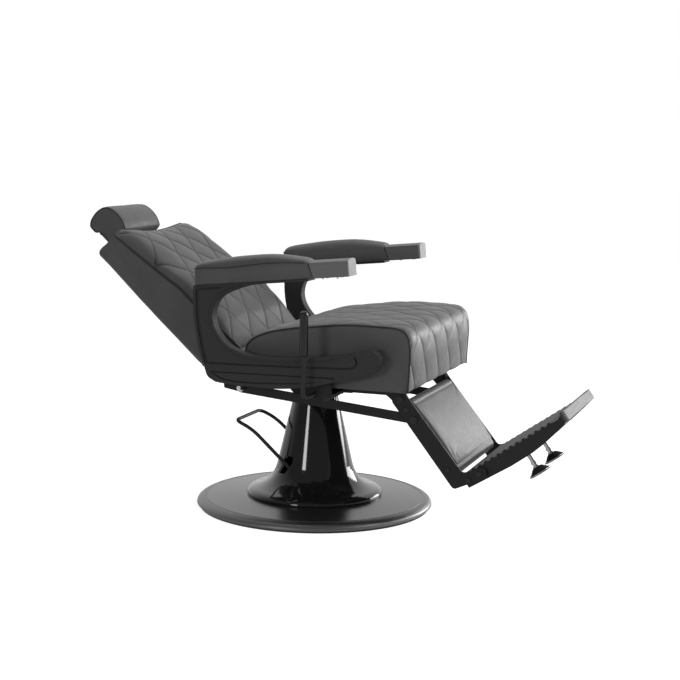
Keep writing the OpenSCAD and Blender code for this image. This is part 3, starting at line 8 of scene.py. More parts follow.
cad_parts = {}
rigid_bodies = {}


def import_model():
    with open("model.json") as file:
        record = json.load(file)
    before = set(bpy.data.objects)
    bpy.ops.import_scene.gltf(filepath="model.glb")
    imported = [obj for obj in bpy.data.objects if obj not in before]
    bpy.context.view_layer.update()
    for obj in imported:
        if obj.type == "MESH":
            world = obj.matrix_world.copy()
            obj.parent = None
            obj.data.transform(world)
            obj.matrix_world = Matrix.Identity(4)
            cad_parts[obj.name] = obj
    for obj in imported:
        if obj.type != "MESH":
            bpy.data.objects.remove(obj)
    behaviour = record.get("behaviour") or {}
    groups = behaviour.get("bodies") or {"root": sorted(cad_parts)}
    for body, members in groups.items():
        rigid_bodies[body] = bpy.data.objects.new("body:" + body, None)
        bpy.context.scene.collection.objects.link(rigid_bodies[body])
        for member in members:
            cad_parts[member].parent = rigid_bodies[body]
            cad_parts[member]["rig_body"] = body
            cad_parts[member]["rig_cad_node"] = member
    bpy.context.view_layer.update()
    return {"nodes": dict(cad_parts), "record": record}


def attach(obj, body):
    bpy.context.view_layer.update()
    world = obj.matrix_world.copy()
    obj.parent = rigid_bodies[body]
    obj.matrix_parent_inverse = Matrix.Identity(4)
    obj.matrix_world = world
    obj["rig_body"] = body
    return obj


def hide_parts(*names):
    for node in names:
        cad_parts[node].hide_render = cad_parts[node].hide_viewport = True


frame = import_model()
nodes = frame["nodes"]

# Places of the side view are (forward, up) in millimetres, as in the part's
# source. Meshes are made in millimetres and scaled to metres as they are built.
MM = 0.001


def world(x, place):
    return (x, -place[0], place[1])


# The camera of the photograph: picture width and focal length in pixels, sensor
# width in millimetres, and its place in metres
PHOTO_PX, FOCAL_PX, SENSOR_MM = 680, 1505.0, 36
CAMERA_PLACE = (-3.891, -1.4514, 1.0392)
CAMERA_WAY = (0.93347, 0.33174, -0.13633)
CAMERA_ROLL = math.radians(0.95)


def make_camera():
    ahead = Vector(CAMERA_WAY).normalized()
    level = Vector((-ahead.y, ahead.x, 0.0)).normalized() * -1
    upright = level.cross(ahead).normalized()
    right = math.cos(CAMERA_ROLL) * level + math.sin(CAMERA_ROLL) * upright
    up = -math.sin(CAMERA_ROLL) * level + math.cos(CAMERA_ROLL) * upright
    stand = Matrix((right, up, -ahead)).transposed().to_4x4()
    stand.translation = Vector(CAMERA_PLACE)
    cam = bpy.data.cameras.new("camera")
    cam.lens = FOCAL_PX / PHOTO_PX * SENSOR_MM
    cam.sensor_width = SENSOR_MM
    cam.clip_end = 50
    obj = bpy.data.objects.new("camera", cam)
    obj.matrix_world = stand
    bpy.context.scene.collection.objects.link(obj)
    bpy.context.scene.camera = obj


make_camera()


# Materials: every one is built from nodes
def new_material(name):
    m = bpy.data.materials.new(name)
    m.use_nodes = True
    tree = m.node_tree
    tree.nodes.clear()
    out = tree.nodes.new("ShaderNodeOutputMaterial")
    bsdf = tree.nodes.new("ShaderNodeBsdfPrincipled")
    tree.links.new(bsdf.outputs[0], out.inputs[0])
    return m, tree, bsdf


def add(tree, kind, **values):
    n = tree.nodes.new("ShaderNode" + kind)
    for key, value in values.items():
        if hasattr(n, key) and key not in n.inputs:
            setattr(n, key, value)
        else:
            n.inputs[key].default_value = value
    return n


def math_node(tree, op, a, b=None, c=None):
    n = tree.nodes.new("ShaderNodeMath")
    n.operation = op
    for k, v in enumerate((a, b, c)):
        if v is None:
            continue
        if isinstance(v, (int, float)):
            n.inputs[k].default_value = v
        else:
            tree.links.new(v, n.inputs[k])
    return n.outputs[0]


def ramp(tree, value, points):
    n = tree.nodes.new("ShaderNodeValToRGB")
    tree.links.new(value, n.inputs[0])
    els = n.color_ramp.elements
    while len(els) < len(points):
        els.new(0.5)
    for el, (pos, c) in zip(els, points):
        el.position = pos
        el.color = (c, c, c, 1) if isinstance(c, (int, float)) else tuple(c) + (1,)
    return n.outputs[0]


def object_coords(tree, scale=(1, 1, 1)):
    tc = tree.nodes.new("ShaderNodeTexCoord")
    mp = tree.nodes.new("ShaderNodeMapping")
    mp.inputs["Scale"].default_value = scale
    tree.links.new(tc.outputs["Object"], mp.inputs[0])
    return mp.outputs[0]


def ring_coords(tree):
    """Coordinates for a grain that runs round the Z axis."""
    tc = tree.nodes.new("ShaderNodeTexCoord")
    sep = tree.nodes.new("ShaderNodeSeparateXYZ")
    tree.links.new(tc.outputs["Object"], sep.inputs[0])
    x, y, z = [sep.outputs[k] for k in range(3)]
    squares = [math_node(tree, "POWER", v, 2.0) for v in (x, y)]
    radius = math_node(tree, "SQRT", math_node(tree, "ADD", *squares))
    turn = math_node(tree, "ARCTAN2", y, x)
    com = tree.nodes.new("ShaderNodeCombineXYZ")
    for k, (v, scale) in enumerate(((radius, 1400.0), (z, 1400.0), (turn, 3.0))):
        tree.links.new(math_node(tree, "MULTIPLY", v, scale), com.inputs[k])
    return com.outputs[0]


def noise(tree, coords, scale, detail=3.0, rough=0.5):
    n = add(tree, "TexNoise", Scale=scale, Detail=detail, Roughness=rough)
    tree.links.new(coords, n.inputs["Vector"])
    return n.outputs["Fac"]


def bump(tree, bsdf, height, strength, distance, below=None):
    b = add(tree, "Bump", Strength=strength, Distance=distance)
    tree.links.new(height, b.inputs["Height"])
    if below is not None:
        tree.links.new(below, b.inputs["Normal"])
    tree.links.new(b.outputs[0], bsdf.inputs["Normal"])


def multiply(tree, a, b):
    mix = add(tree, "Mix", data_type="RGBA", blend_type="MULTIPLY")
    mix.inputs[0].default_value = 1.0
    tree.links.new(a, mix.inputs[6])
    tree.links.new(b, mix.inputs[7])
    return mix.outputs[2]


def tinted(base, share):
    return tuple(v * share for v in base)


def vary(tree, bsdf, socket, fac, low, high):
    """Lets a socket of the shader wander between two values with a noise."""
    tree.links.new(ramp(tree, fac, ((0.3, low), (0.7, high))), bsdf.inputs[socket])


# Depths of the bumps in metres, and the stitches along one side of a diamond
GRAIN_DEPTH, STITCH_DEPTH, PEEL_DEPTH, BRUSH_DEPTH, WOOD_DEPTH = 0.00022, 0.0009, 0.0002, 0.00012, 0.0004
STITCHES = 17


def sewn_lines(tree):
    """The dark seams of the quilting and the bump of its stitches."""
    uv = tree.nodes.new("ShaderNodeUVMap")
    uv.uv_map = "quilt"
    sep = tree.nodes.new("ShaderNodeSeparateXYZ")
    tree.links.new(uv.outputs[0], sep.inputs[0])
    near, dashes = [], []
    for k in (0, 1):
        across, along = sep.outputs[k], sep.outputs[1 - k]
        off = math_node(tree, "SUBTRACT", across, math_node(tree, "ROUND", across))
        off = math_node(tree, "ABSOLUTE", off)
        near.append(off)
        wave = math_node(tree, "SINE", math_node(tree, "MULTIPLY", along, 2 * math.pi * STITCHES))
        thread = ramp(tree, off, ((0.0, 1.0), (0.014, 1.0), (0.022, 0.0)))
        dash = ramp(tree, wave, ((0.42, 0.0), (0.58, 1.0)))
        dashes.append(math_node(tree, "MULTIPLY", thread, dash))
    line = math_node(tree, "MINIMUM", *near)
    raised = add(tree, "Bump", Strength=0.7, Distance=STITCH_DEPTH)
    tree.links.new(math_node(tree, "MAXIMUM", *dashes), raised.inputs["Height"])
    return ramp(tree, line, ((0.0, 0.30), (0.017, 0.36), (0.040, 1.0))), raised.outputs[0]


def leather(name, base, rough, quilt=False):
    m, t, b = new_material(name)
    co = object_coords(t)
    cells = add(t, "TexVoronoi", Scale=620.0)
    t.links.new(co, cells.inputs["Vector"])
    cells.feature = "DISTANCE_TO_EDGE"
    pores = ramp(t, cells.outputs["Distance"], ((0.0, 0.0), (0.32, 1.0)))
    fine = noise(t, co, 1500.0, 2.0)
    cloudy = noise(t, co, 9.0, 4.0, 0.55)
    wear = noise(t, co, 60.0, 5.0, 0.6)
    tone = ramp(t, cloudy, ((0.25, tinted(base, 0.86)), (0.75, tinted(base, 1.16))))
    colour = multiply(t, tone, ramp(t, wear, ((0.3, 0.90), (0.7, 1.06))))
    stitches = None
    if quilt:
        seam, stitches = sewn_lines(t)
        colour = multiply(t, colour, seam)
    bump(t, b, math_node(t, "MULTIPLY_ADD", fine, 0.3, pores), 0.35, GRAIN_DEPTH, stitches)
    t.links.new(colour, b.inputs["Base Color"])
    vary(t, b, "Roughness", wear, rough - 0.05, rough + 0.06)
    b.inputs["Specular IOR Level"].default_value = 0.45
    b.inputs["Sheen Weight"].default_value = 0.06
    b.inputs["Sheen Roughness"].default_value = 0.5
    return m


def paint(name, base, rough, coat=0.0, texture=900.0, amount=0.12, specular=0.5):
    m, t, b = new_material(name)
    co = object_coords(t)
    vary(t, b, "Base Color", noise(t, co, 90.0, 3.0), tinted(base, 0.94), tinted(base, 1.06))
    vary(t, b, "Roughness", noise(t, co, 260.0, 3.0), rough * 0.95, rough * 1.06)
    b.inputs["Coat Weight"].default_value = coat
    b.inputs["Coat Roughness"].default_value = 0.04
    b.inputs["Specular IOR Level"].default_value = specular
    bump(t, b, noise(t, co, texture, 2.0), amount, PEEL_DEPTH)
    return m


def brushed(name, base, rough, scale=None):
    """Metal with a grain: along an axis with a scale, and round the Z axis without one."""
    m, t, b = new_material(name)
    grain = noise(t, object_coords(t, scale) if scale else ring_coords(t), 1.0, 3.0, 0.7)
    vary(t, b, "Base Color", grain, tinted(base, 0.84), tinted(base, 1.14))
    vary(t, b, "Roughness", grain, rough * 0.85, rough * 1.2)
    b.inputs["Metallic"].default_value = 1.0
    bump(t, b, grain, 0.12, BRUSH_DEPTH)
    return m


def polished(name, base, rough):
    m, t, b = new_material(name)
    co = object_coords(t)
    vary(t, b, "Base Color", noise(t, co, 25.0, 3.0), tinted(base, 0.97), base)
    vary(t, b, "Roughness", noise(t, co, 120.0, 4.0), rough * 0.8, rough * 1.3)
    b.inputs["Metallic"].default_value = 1.0
    return m


def plywood(name):
    m, t, b = new_material(name)
    grain = noise(t, object_coords(t, (12, 90, 500)), 1.0, 5.0, 0.6)
    vary(t, b, "Base Color", grain, (0.30, 0.20, 0.11), (0.47, 0.34, 0.20))
    b.inputs["Roughness"].default_value = 0.65
    bump(t, b, grain, 0.2, WOOD_DEPTH)
    return m


MAT = {
    "leather": leather("leather", (0.066, 0.066, 0.068), 0.50),
    "quilted": leather("quilted", (0.062, 0.062, 0.064), 0.48, quilt=True),
    "piping": leather("piping", (0.010, 0.010, 0.011), 0.45),
    "matte_black": paint("matte_black", (0.010, 0.010, 0.0105), 0.55, specular=0.3),
    "satin_black": paint("satin_black", (0.022, 0.022, 0.023), 0.55, specular=0.3),
    "disc_black": paint("disc_black", (0.016, 0.016, 0.0165), 0.24, amount=0.03, specular=0.6),
    "gloss_black": paint("gloss_black", (0.010, 0.010, 0.011), 0.09, coat=0.35, amount=0.01,
        specular=0.3),
    "rim_dark": brushed("rim_dark", (0.17, 0.17, 0.173), 0.40),
    "rim_line": brushed("rim_line", (0.16, 0.16, 0.165), 0.4),
    "cap_metal": brushed("cap_metal", (0.17, 0.17, 0.172), 0.60, scale=(900, 10, 900)),
    "grey_metal": brushed("grey_metal", (0.10, 0.10, 0.102), 0.60, scale=(10, 900, 900)),
    "bar_metal": brushed("bar_metal", (0.18, 0.18, 0.183), 0.55, scale=(900, 900, 10)),
    "foot_alloy": paint("foot_alloy", (0.010, 0.010, 0.0105), 0.5, texture=700.0, amount=0.2,
        specular=0.3),
    "tread": paint("tread", (0.055, 0.055, 0.056), 0.30, texture=700.0, amount=0.2),
    "steel": brushed("steel", (0.62, 0.62, 0.64), 0.25, scale=(60, 900, 900)),
    "chrome": polished("chrome", (0.45, 0.45, 0.455), 0.06),
    "ply": plywood("ply"),
    "rubber": paint("rubber", (0.016, 0.016, 0.016), 0.6, texture=500.0, amount=0.25),
    "grip": paint("grip", (0.008, 0.008, 0.0085), 0.22, coat=0.3, texture=1200.0, amount=0.06,
        specular=0.3),
    "arm_black": paint("arm_black", (0.034, 0.034, 0.035), 0.62, amount=0.1, specular=0.22),
}
SLOTS = {p["node"]: p["material_slot"] for p in frame["record"]["subparts"]}
# Nodes that look different from their slot
LOOKS = {"arm_cap_right": "cap_metal", "arm_cap_left": "cap_metal", "headrest_bar": "bar_metal",
    "base_plate": "disc_black", "arm_frame_right": "arm_black", "arm_frame_left": "arm_black"}


def look(node):
    return MAT[LOOKS.get(node, SLOTS[node])]


# Meshes
def finish_mesh(name, verts, faces, material):
    me = bpy.data.meshes.new(name)
    me.from_pydata([tuple(c * MM for c in v) for v in verts], [], faces)
    me.validate()
    me.update()
    obj = bpy.data.objects.new(name, me)
    bpy.context.scene.collection.objects.link(obj)
    me.materials.append(material)
    me.shade_smooth()
    return obj


def merge(obj, dist):
    """Joins points nearer than a distance in millimetres, and turns the faces outward."""
    bm = bmesh.new()
    bm.from_mesh(obj.data)
    bmesh.ops.remove_doubles(bm, verts=bm.verts, dist=dist * MM)
    bmesh.ops.recalc_face_normals(bm, faces=bm.faces)
    bm.to_mesh(obj.data)
    bm.free()
    obj.data.update()


def modify(obj, kind, **values):
    mod = obj.modifiers.new(kind, kind)
    for k, v in values.items():
        setattr(mod, k, v)


def apply_all(obj):
    dg = bpy.context.evaluated_depsgraph_get()
    me = bpy.data.meshes.new_from_object(obj.evaluated_get(dg))
    old = obj.data
    obj.modifiers.clear()
    obj.data = me
    bpy.data.meshes.remove(old)


# Points nearer than this many metres are one, edges flatter than the first
# angle go, and edges sharper than the second are rounded
SAME_POINT, FLAT_ANGLE, BEVEL_ANGLE = 1e-6, 1.0, 35


def bevelled(node, width):
    """A copy of a CAD node with rounded edges that stands for it."""
    src = nodes[node]
    obj = src.copy()
    obj.data = src.data.copy()
    obj.name = node + "_edges"
    obj.parent = None
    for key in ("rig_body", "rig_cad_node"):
        if key in obj:
            del obj[key]
    obj.matrix_world = Matrix.Identity(4)
    bpy.context.scene.collection.objects.link(obj)
    bm = bmesh.new()
    bm.from_mesh(obj.data)
    bmesh.ops.remove_doubles(bm, verts=bm.verts, dist=SAME_POINT)
    bmesh.ops.dissolve_limit(bm, angle_limit=math.radians(FLAT_ANGLE), verts=bm.verts, edges=bm.edges)
    bm.to_mesh(obj.data)
    bm.free()
    modify(obj, "BEVEL", width=width * MM, segments=3, limit_method="ANGLE",
        angle_limit=math.radians(BEVEL_ANGLE), harden_normals=True)
    apply_all(obj)
    obj.data.shade_smooth()
    modify(obj, "WEIGHTED_NORMAL", keep_sharp=True)
    apply_all(obj)
    obj.data.materials.clear()
    obj.data.materials.append(look(node))
    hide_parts(node)
    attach(obj, src["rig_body"])


# Curves
def smooth_line(points, steps):
    p = np.array(points, float)
    out = []
    last = len(p) - 1
    for i in range(last):
        a, b, c, d = p[max(i - 1, 0)], p[i], p[i + 1], p[min(i + 2, last)]
        for k in range(steps):
            t = k / steps
            out.append(b + (c - a) * t / 2 + (2 * a - 5 * b + 4 * c - d) * t * t / 2
                + (3 * b - a - 3 * c + d) * t ** 3 / 2)
    out.append(p[last])
    return np.array(out)


def even_line(points, count):
    p = np.array(points, float)
    s = np.concatenate([[0], np.cumsum(np.linalg.norm(np.diff(p, axis=0), axis=1))])
    t = np.linspace(0, s[-1], count + 1)
    return np.stack([np.interp(t, s, p[:, k]) for k in range(p.shape[1])], axis=1)


def tube(name, path, radius, body, material, sides, closed=False, radii=None):
    """Round tube along a path of points in millimetres."""
    p = np.array(path, float)
    n = len(p)
    if closed:
        tan = np.roll(p, -1, 0) - np.roll(p, 1, 0)
    else:
        tan = np.gradient(p, axis=0)
    tan /= np.linalg.norm(tan, axis=1)[:, None]
    ref = np.array([1.0, 0, 0]) if abs(tan[0][0]) < 0.8 else np.array([0, 0, 1.0])
    v = np.cross(tan[0], ref)
    v /= np.linalg.norm(v)
    verts, faces = [], []
    for i in range(n):
        v = v - tan[i] * np.dot(v, tan[i])
        v /= np.linalg.norm(v)
        w = np.cross(tan[i], v)
        r = radius if radii is None else radii[i]
        for k in range(sides):
            a = 2 * math.pi * k / sides
            verts.append(p[i] + r * (math.cos(a) * v + math.sin(a) * w))
    rows = n if closed else n - 1
    for i in range(rows):
        for k in range(sides):
            a, b = i * sides + k, i * sides + (k + 1) % sides
            c, d = ((i + 1) % n) * sides + k, ((i + 1) % n) * sides + (k + 1) % sides
            faces.append((a, b, d, c))
    if not closed:
        faces.append(tuple(range(sides))[::-1])
        faces.append(tuple((n - 1) * sides + k for k in range(sides)))
    obj = finish_mesh(name, verts, faces, material)
    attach(obj, body)


def lathe(name, profile, centre, axis, body, material, steps=96):
    """Surface of revolution of (radius, height) points about an axis through centre."""
    verts, faces = [], []
    ax = Vector(axis).normalized()
    ref = Vector((1, 0, 0)) if abs(ax.x) < 0.8 else Vector((0, 1, 0))
    e1 = ax.cross(ref).normalized()
    e2 = ax.cross(e1)
    n = len(profile)
    for k in range(steps):
        a = 2 * math.pi * k / steps
        way = e1 * math.cos(a) + e2 * math.sin(a)
        for r, h in profile:
            verts.append(tuple(Vector(centre) + way * r + ax * h))
    for k in range(steps):
        for i in range(n - 1):
            a, b = k * n + i, k * n + i + 1
            c, d = ((k + 1) % steps) * n + i, ((k + 1) % steps) * n + i + 1
            faces.append((a, c, d, b))
    obj = finish_mesh(name, verts, faces, material)
    merge(obj, 0.001)
    obj.data.set_sharp_from_angle(angle=math.radians(40))
    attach(obj, body)
    return obj


# Soft pieces
def blend(a, b, steps):
    """Rows of points from one edge to another."""
    t = np.linspace(0, 1, steps + 1)[:, None, None]
    return a[None] * (1 - t) + b[None] * t


# Quilt coordinate of every face without stitching, far from a seam
PLAIN = 0.25
# Cloth simulation: frames, and stiffness against stretching and bending
CLOTH_FRAMES, CLOTH_STIFF, CLOTH_BEND = 20, 18.0, 0.6


class Shell:
    """Patches of points in millimetres, joined into one closed mesh."""

    def __init__(self):
        self.verts, self.faces, self.uvs, self.pins = [], [], [], []

    def patch(self, grid, uv=None, pin=None, wrap=False):
        g = np.array(grid, float)
        n, m = g.shape[:2]
        base = len(self.verts)
        self.verts.extend(g.reshape(-1, 3).tolist())
        flat = np.full((n, m + 1, 2), PLAIN) if uv is None else np.array(uv, float)
        for i in range(n - 1):
            for j in range(m if wrap else m - 1):
                corners = ((i, j), (i + 1, j), (i + 1, j + 1), (i, j + 1))
                self.faces.append([base + a * m + b % m for a, b in corners])
                self.uvs.append([flat[c[0], c[1]] for c in corners])
        if pin is not None:
            self.pins.extend((base + np.flatnonzero(np.array(pin).reshape(-1))).tolist())

    def wall(self, a, b, steps):
        """A held strip from one edge to another."""
        grid = blend(a, b, steps)
        self.patch(grid, None, np.ones(grid.shape[:2]))

    def close(self, face, under, steps):
        """Held walls round a face, and the held sheet under it."""
        for k in (0, -1):
            self.wall(face[k], under[k], steps)
        for k in (0, -1):
            self.wall(face[:, k], under[:, k], steps)
        self.patch(under, None, np.ones(under.shape[:2]))

    def fan(self, ring, dome, steps=8, pin=False):
        """Closes a ring with rings that shrink towards its middle over a low dome."""
        r = np.array(ring, float)
        c = r.mean(0)
        q = np.linspace(0, 1, steps + 1)[:-1]
        rows = [c + (r - c) * (1 - t) + np.array(dome) * (1 - (1 - t) ** 2) for t in q]
        self.patch(rows, wrap=True, pin=np.ones((steps, len(r))) if pin else None)
        last = len(self.verts) - len(r)
        self.verts.append((c + np.array(dome)).tolist())
        for j in range(len(r)):
            self.faces.append([last + j, last + (j + 1) % len(r), len(self.verts) - 1])
            self.uvs.append([(PLAIN, PLAIN)] * 3)

    def build(self, name, material):
        me = bpy.data.meshes.new(name)
        me.from_pydata([tuple(c * MM for c in v) for v in self.verts], [], self.faces)
        layer = me.uv_layers.new(name="quilt")
        layer.data.foreach_set("uv", np.array([c for f in self.uvs for c in f]).reshape(-1))
        me.validate()
        me.materials.append(material)
        obj = bpy.data.objects.new(name, me)
        bpy.context.scene.collection.objects.link(obj)
        group = obj.vertex_groups.new(name="pin")
        group.add(self.pins, 1.0, "REPLACE")
        merge(obj, 0.02)
        obj.data.shade_smooth()
        return obj


def inflate(obj, pressure, cap):
    """Cloth under inside pressure, held at its sewn lines. No point moves further than the cap in
    millimetres."""
    me = obj.data
    rest = np.empty(len(me.vertices) * 3)
    me.vertices.foreach_get("co", rest)
    rest = rest.reshape(-1, 3)
    mod = obj.modifiers.new("cloth", "CLOTH")
    s = mod.settings
    s.quality = 6
    s.mass = 0.25
    s.tension_stiffness = s.compression_stiffness = CLOTH_STIFF
    s.shear_stiffness = CLOTH_STIFF / 3
    s.bending_stiffness = CLOTH_BEND
    s.use_pressure = True
    s.uniform_pressure_force = pressure
    s.vertex_group_mass = "pin"
    s.effector_weights.gravity = 0
    mod.point_cache.frame_start = 1
    mod.point_cache.frame_end = CLOTH_FRAMES
    scene = bpy.context.scene
    for f in range(1, CLOTH_FRAMES + 1):
        scene.frame_set(f)
    dg = bpy.context.evaluated_depsgraph_get()
    now = np.empty(len(me.vertices) * 3)
    obj.evaluated_get(dg).data.vertices.foreach_get("co", now)
    move = now.reshape(-1, 3) - rest
    size = np.linalg.norm(move, axis=1)
    limit = cap * MM * np.tanh(size / (cap * MM))
    move *= (limit / np.maximum(size, 1e-9))[:, None]
    obj.modifiers.remove(mod)
    scene.frame_set(1)
    me.vertices.foreach_set("co", (rest + move).reshape(-1))
    me.update()
    obj.vertex_groups.clear()


def subdivide(obj):
    modify(obj, "SUBSURF", levels=1, render_levels=1, uv_smooth="PRESERVE_BOUNDARIES")
    apply_all(obj)
    obj.data.shade_smooth()


def sew(obj, pitch_mm, depth, width):
    """Presses the sewn lines of the quilting in, by distance from them."""
    me = obj.data
    n = len(me.vertices)
    uv = np.empty(len(me.loops) * 2)
    me.uv_layers["quilt"].data.foreach_get("uv", uv)
    uv = uv.reshape(-1, 2)
    idx = np.empty(len(me.loops), int)
    me.loops.foreach_get("vertex_index", idx)
    vuv = np.full((n, 2), PLAIN)
    quilted = np.abs(uv - PLAIN).max(1) > 1e-6
    vuv[idx[quilted]] = uv[quilted]
    dist = np.abs(vuv - np.round(vuv)) * pitch_mm
    press = np.maximum(np.exp(-(dist[:, 0] / width) ** 2), np.exp(-(dist[:, 1] / width) ** 2))
    co = np.empty(n * 3)
    no = np.empty(n * 3)
    me.vertices.foreach_get("co", co)
    me.vertices.foreach_get("normal", no)
    co = co.reshape(-1, 3) - no.reshape(-1, 3) * (press * depth * MM)[:, None]
    me.vertices.foreach_set("co", co.reshape(-1))
    me.update()


def soft(obj, node, body):
    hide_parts(node)
    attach(obj, body)


def edge_rise(t):
    t = np.clip(t, 0, 1)
    return np.sqrt(np.maximum(0, 1 - (1 - t) ** 2))


def diamonds(i, j, pitch):
    return (np.abs(np.sin(np.pi * (i + j) / pitch) * np.sin(np.pi * (i - j) / pitch))) ** 0.6


def outward(line, sign=1):
    t = np.gradient(np.array(line, float), axis=0)
    t /= np.linalg.norm(t, axis=1)[:, None]
    return np.stack([-t[:, 1], t[:, 0]], axis=1) * sign


# A diamond of the quilting is K columns wide and K rows high on the mesh
K = 20

# Seat cushion: its sizes, then how far its edge is rounded, and how much the
# top, the diamonds and the sides swell
seat_w, seat_rear, seat_front, seat_low, seat_high = 570, 92, 359, 386, 553
seat_edge, seat_crown, seat_quilt, seat_bulge = 60, 8, 3.5, 5
# With these rows from rear to front a diamond is 135 mm long
seat_rows = 92
seat_shares = [(0, 0.43), (0, 0.505), (0.01, 0.6), (0.04, 0.685), (0.085, 0.75), (0.155, 0.82),
    (0.28, 0.89), (0.4, 0.93), (0.54, 0.98), (0.67, 1), (0.8, 1), (0.885, 0.995), (0.94, 0.975),
    (0.972, 0.915), (0.993, 0.82), (1, 0.63), (0.998, 0.43), (0.994, 0.22), (0.991, 0)]
seat_line = [(-seat_rear + p[0] * (seat_front + seat_rear), seat_low + p[1] * (seat_high - seat_low))
    for p in seat_shares]
seat_line = even_line(smooth_line(seat_line, 12), seat_rows)


def make_seat():
    nx, last = 5 * K, seat_rows
    i, j = np.meshgrid(np.arange(nx + 1), np.arange(last + 1), indexing="ij")
    x = seat_w * (i / nx - 0.5)
    across = (nx - np.abs(2 * i - nx)) / nx
    rise = edge_rise(across * (seat_w / 2 / seat_edge))
    crown = seat_crown * np.minimum(1, (last - j) / K)
    depth = seat_quilt * np.minimum(1, j / K)
    off = rise * (crown + depth * diamonds(i, j, K) - depth * 0.4)
    out = outward(seat_line)
    f = seat_line[j, 0] + out[j, 0] * off
    z = seat_line[j, 1] + out[j, 1] * off
    top = np.stack([x, -f, z], axis=2)
    uv = np.stack([(i + j) / K, (i - j) / K], axis=2)
    edges = (i == 0) | (i == nx) | (j == last) | (j == 0)
    shell = Shell()
    shell.patch(top, uv, ((i + j) % K == 0) | ((i - j) % K == 0) | edges)
    rows = 14
    bulge = seat_bulge * np.sin(np.pi * np.linspace(0, 1, rows + 1)[:, None])
    for s, side in ((0, -1), (nx, 1)):
        edge = top[s]
        low = np.stack([edge[:, 0], -np.linspace(-seat_rear, seat_line[-1][0], last + 1),
            np.full(last + 1, float(seat_low))], axis=1)
        grid = blend(edge, low, rows)
        grid[:, :, 0] -= side * bulge
        held = np.zeros((rows + 1, last + 1), bool)
        held[-1] = held[0] = True
        shell.patch(grid, None, held)
    rear_low = top[:, 0].copy()
    rear_low[:, 2] = seat_low
    shell.wall(top[:, 0], rear_low, 8)
    shell.wall(rear_low, top[:, -1], 20)
    obj = shell.build("seat_cover", MAT["quilted"])
    inflate(obj, 2.5, 3.0)
    subdivide(obj)
    sew(obj, 95.5, 1.5, 3.0)
    soft(obj, "seat_cushion", "seat")
    rear = [(-seat_rear - 0.5, seat_low + 4), (-seat_rear - 0.5, seat_low + 30)]
    for s, tag in ((-1, "right"), (1, "left")):
        path = [world(s * (seat_w / 2 + 0.5), p) for p in rear + [tuple(q) for q in seat_line[::2]]]
        tube("seat_piping_" + tag, path, 2.3, "seat", MAT["piping"], 10)


# Backrest: places are (ahead of the hinge line, up the back)
hinge = np.array([-186.0, 401.0])
lean = math.radians(47)
n_dir = np.array([math.cos(lean), math.sin(lean)])
s_dir = np.array([-math.sin(lean), math.cos(lean)])
back_l, back_top_w, back_low_w = 492, 424, 470
# How far the shell reaches behind the hinge line and the piping ahead of it, how
# far the edge is rounded, and how much the front and its diamonds swell
back_t, pipe_n, back_edge, back_crown, back_quilt = 49.0, 86, 80, 38, 4.5
pipe = [(1, 0.008), (1, 0.04), (0.985, 0.1), (0.955, 0.165), (0.92, 0.265), (0.9, 0.395), (0.872, 0.49),
    (0.767, 0.58), (0.64, 0.71), (0.5, 0.845), (0.384, 0.984)]
pipe = [(p[0] * pipe_n, p[1] * back_l) for p in pipe]
# With these rows a diamond is 157 mm high. Rows are counted from the top corners
back_rows = 64
back_line = even_line(smooth_line(pipe, 12), back_rows)
# The crown's height along the back, from the bottom to the top
crown_at = [(0, 0), (0.05, 0.12), (0.1, 0.36), (0.17, 0.72), (0.25, 0.9), (0.33, 1), (0.6, 0.92),
    (0.8, 0.9), (0.88, 0.78), (0.93, 0.62), (0.97, 0.4), (1, 0)]


def on_back(n, s):
    return hinge + n * n_dir + s * s_dir


def back_half(s):
    return (back_low_w + (back_top_w - back_low_w) * s / back_l) / 2


# The top edge's corners lift and its middle dips by these, over the upper part
corner_lift, middle_dip, lift_from = 16, 13, 0.62


def back_place(x, n, s, lift=1.0):
    """World place of points on the backrest, with the dip and the lifted corners of its top edge."""
    x, n, s, lift = np.broadcast_arrays(np.asarray(x, float), n, s, lift)
    q = np.clip(np.abs(x) / back_half(s), 0, 1)
    up = np.clip((s / back_l - lift_from) / 0.38, 0, 1)
    up = up * up * (3 - 2 * up)
    edge = np.clip((1 - q) / 0.11, 0, 1)
    n = n + corner_lift * lift * up * edge * edge * (3 - 2 * edge) * (0.4 + 0.6 * q ** 2)
    s = s - middle_dip * (1 - q ** 2) ** 1.5 * up
    f = hinge[0] + n * n_dir[0] + s * s_dir[0]
    z = hinge[1] + n * n_dir[1] + s * s_dir[1]
    return np.stack([x, -f, z], axis=-1)


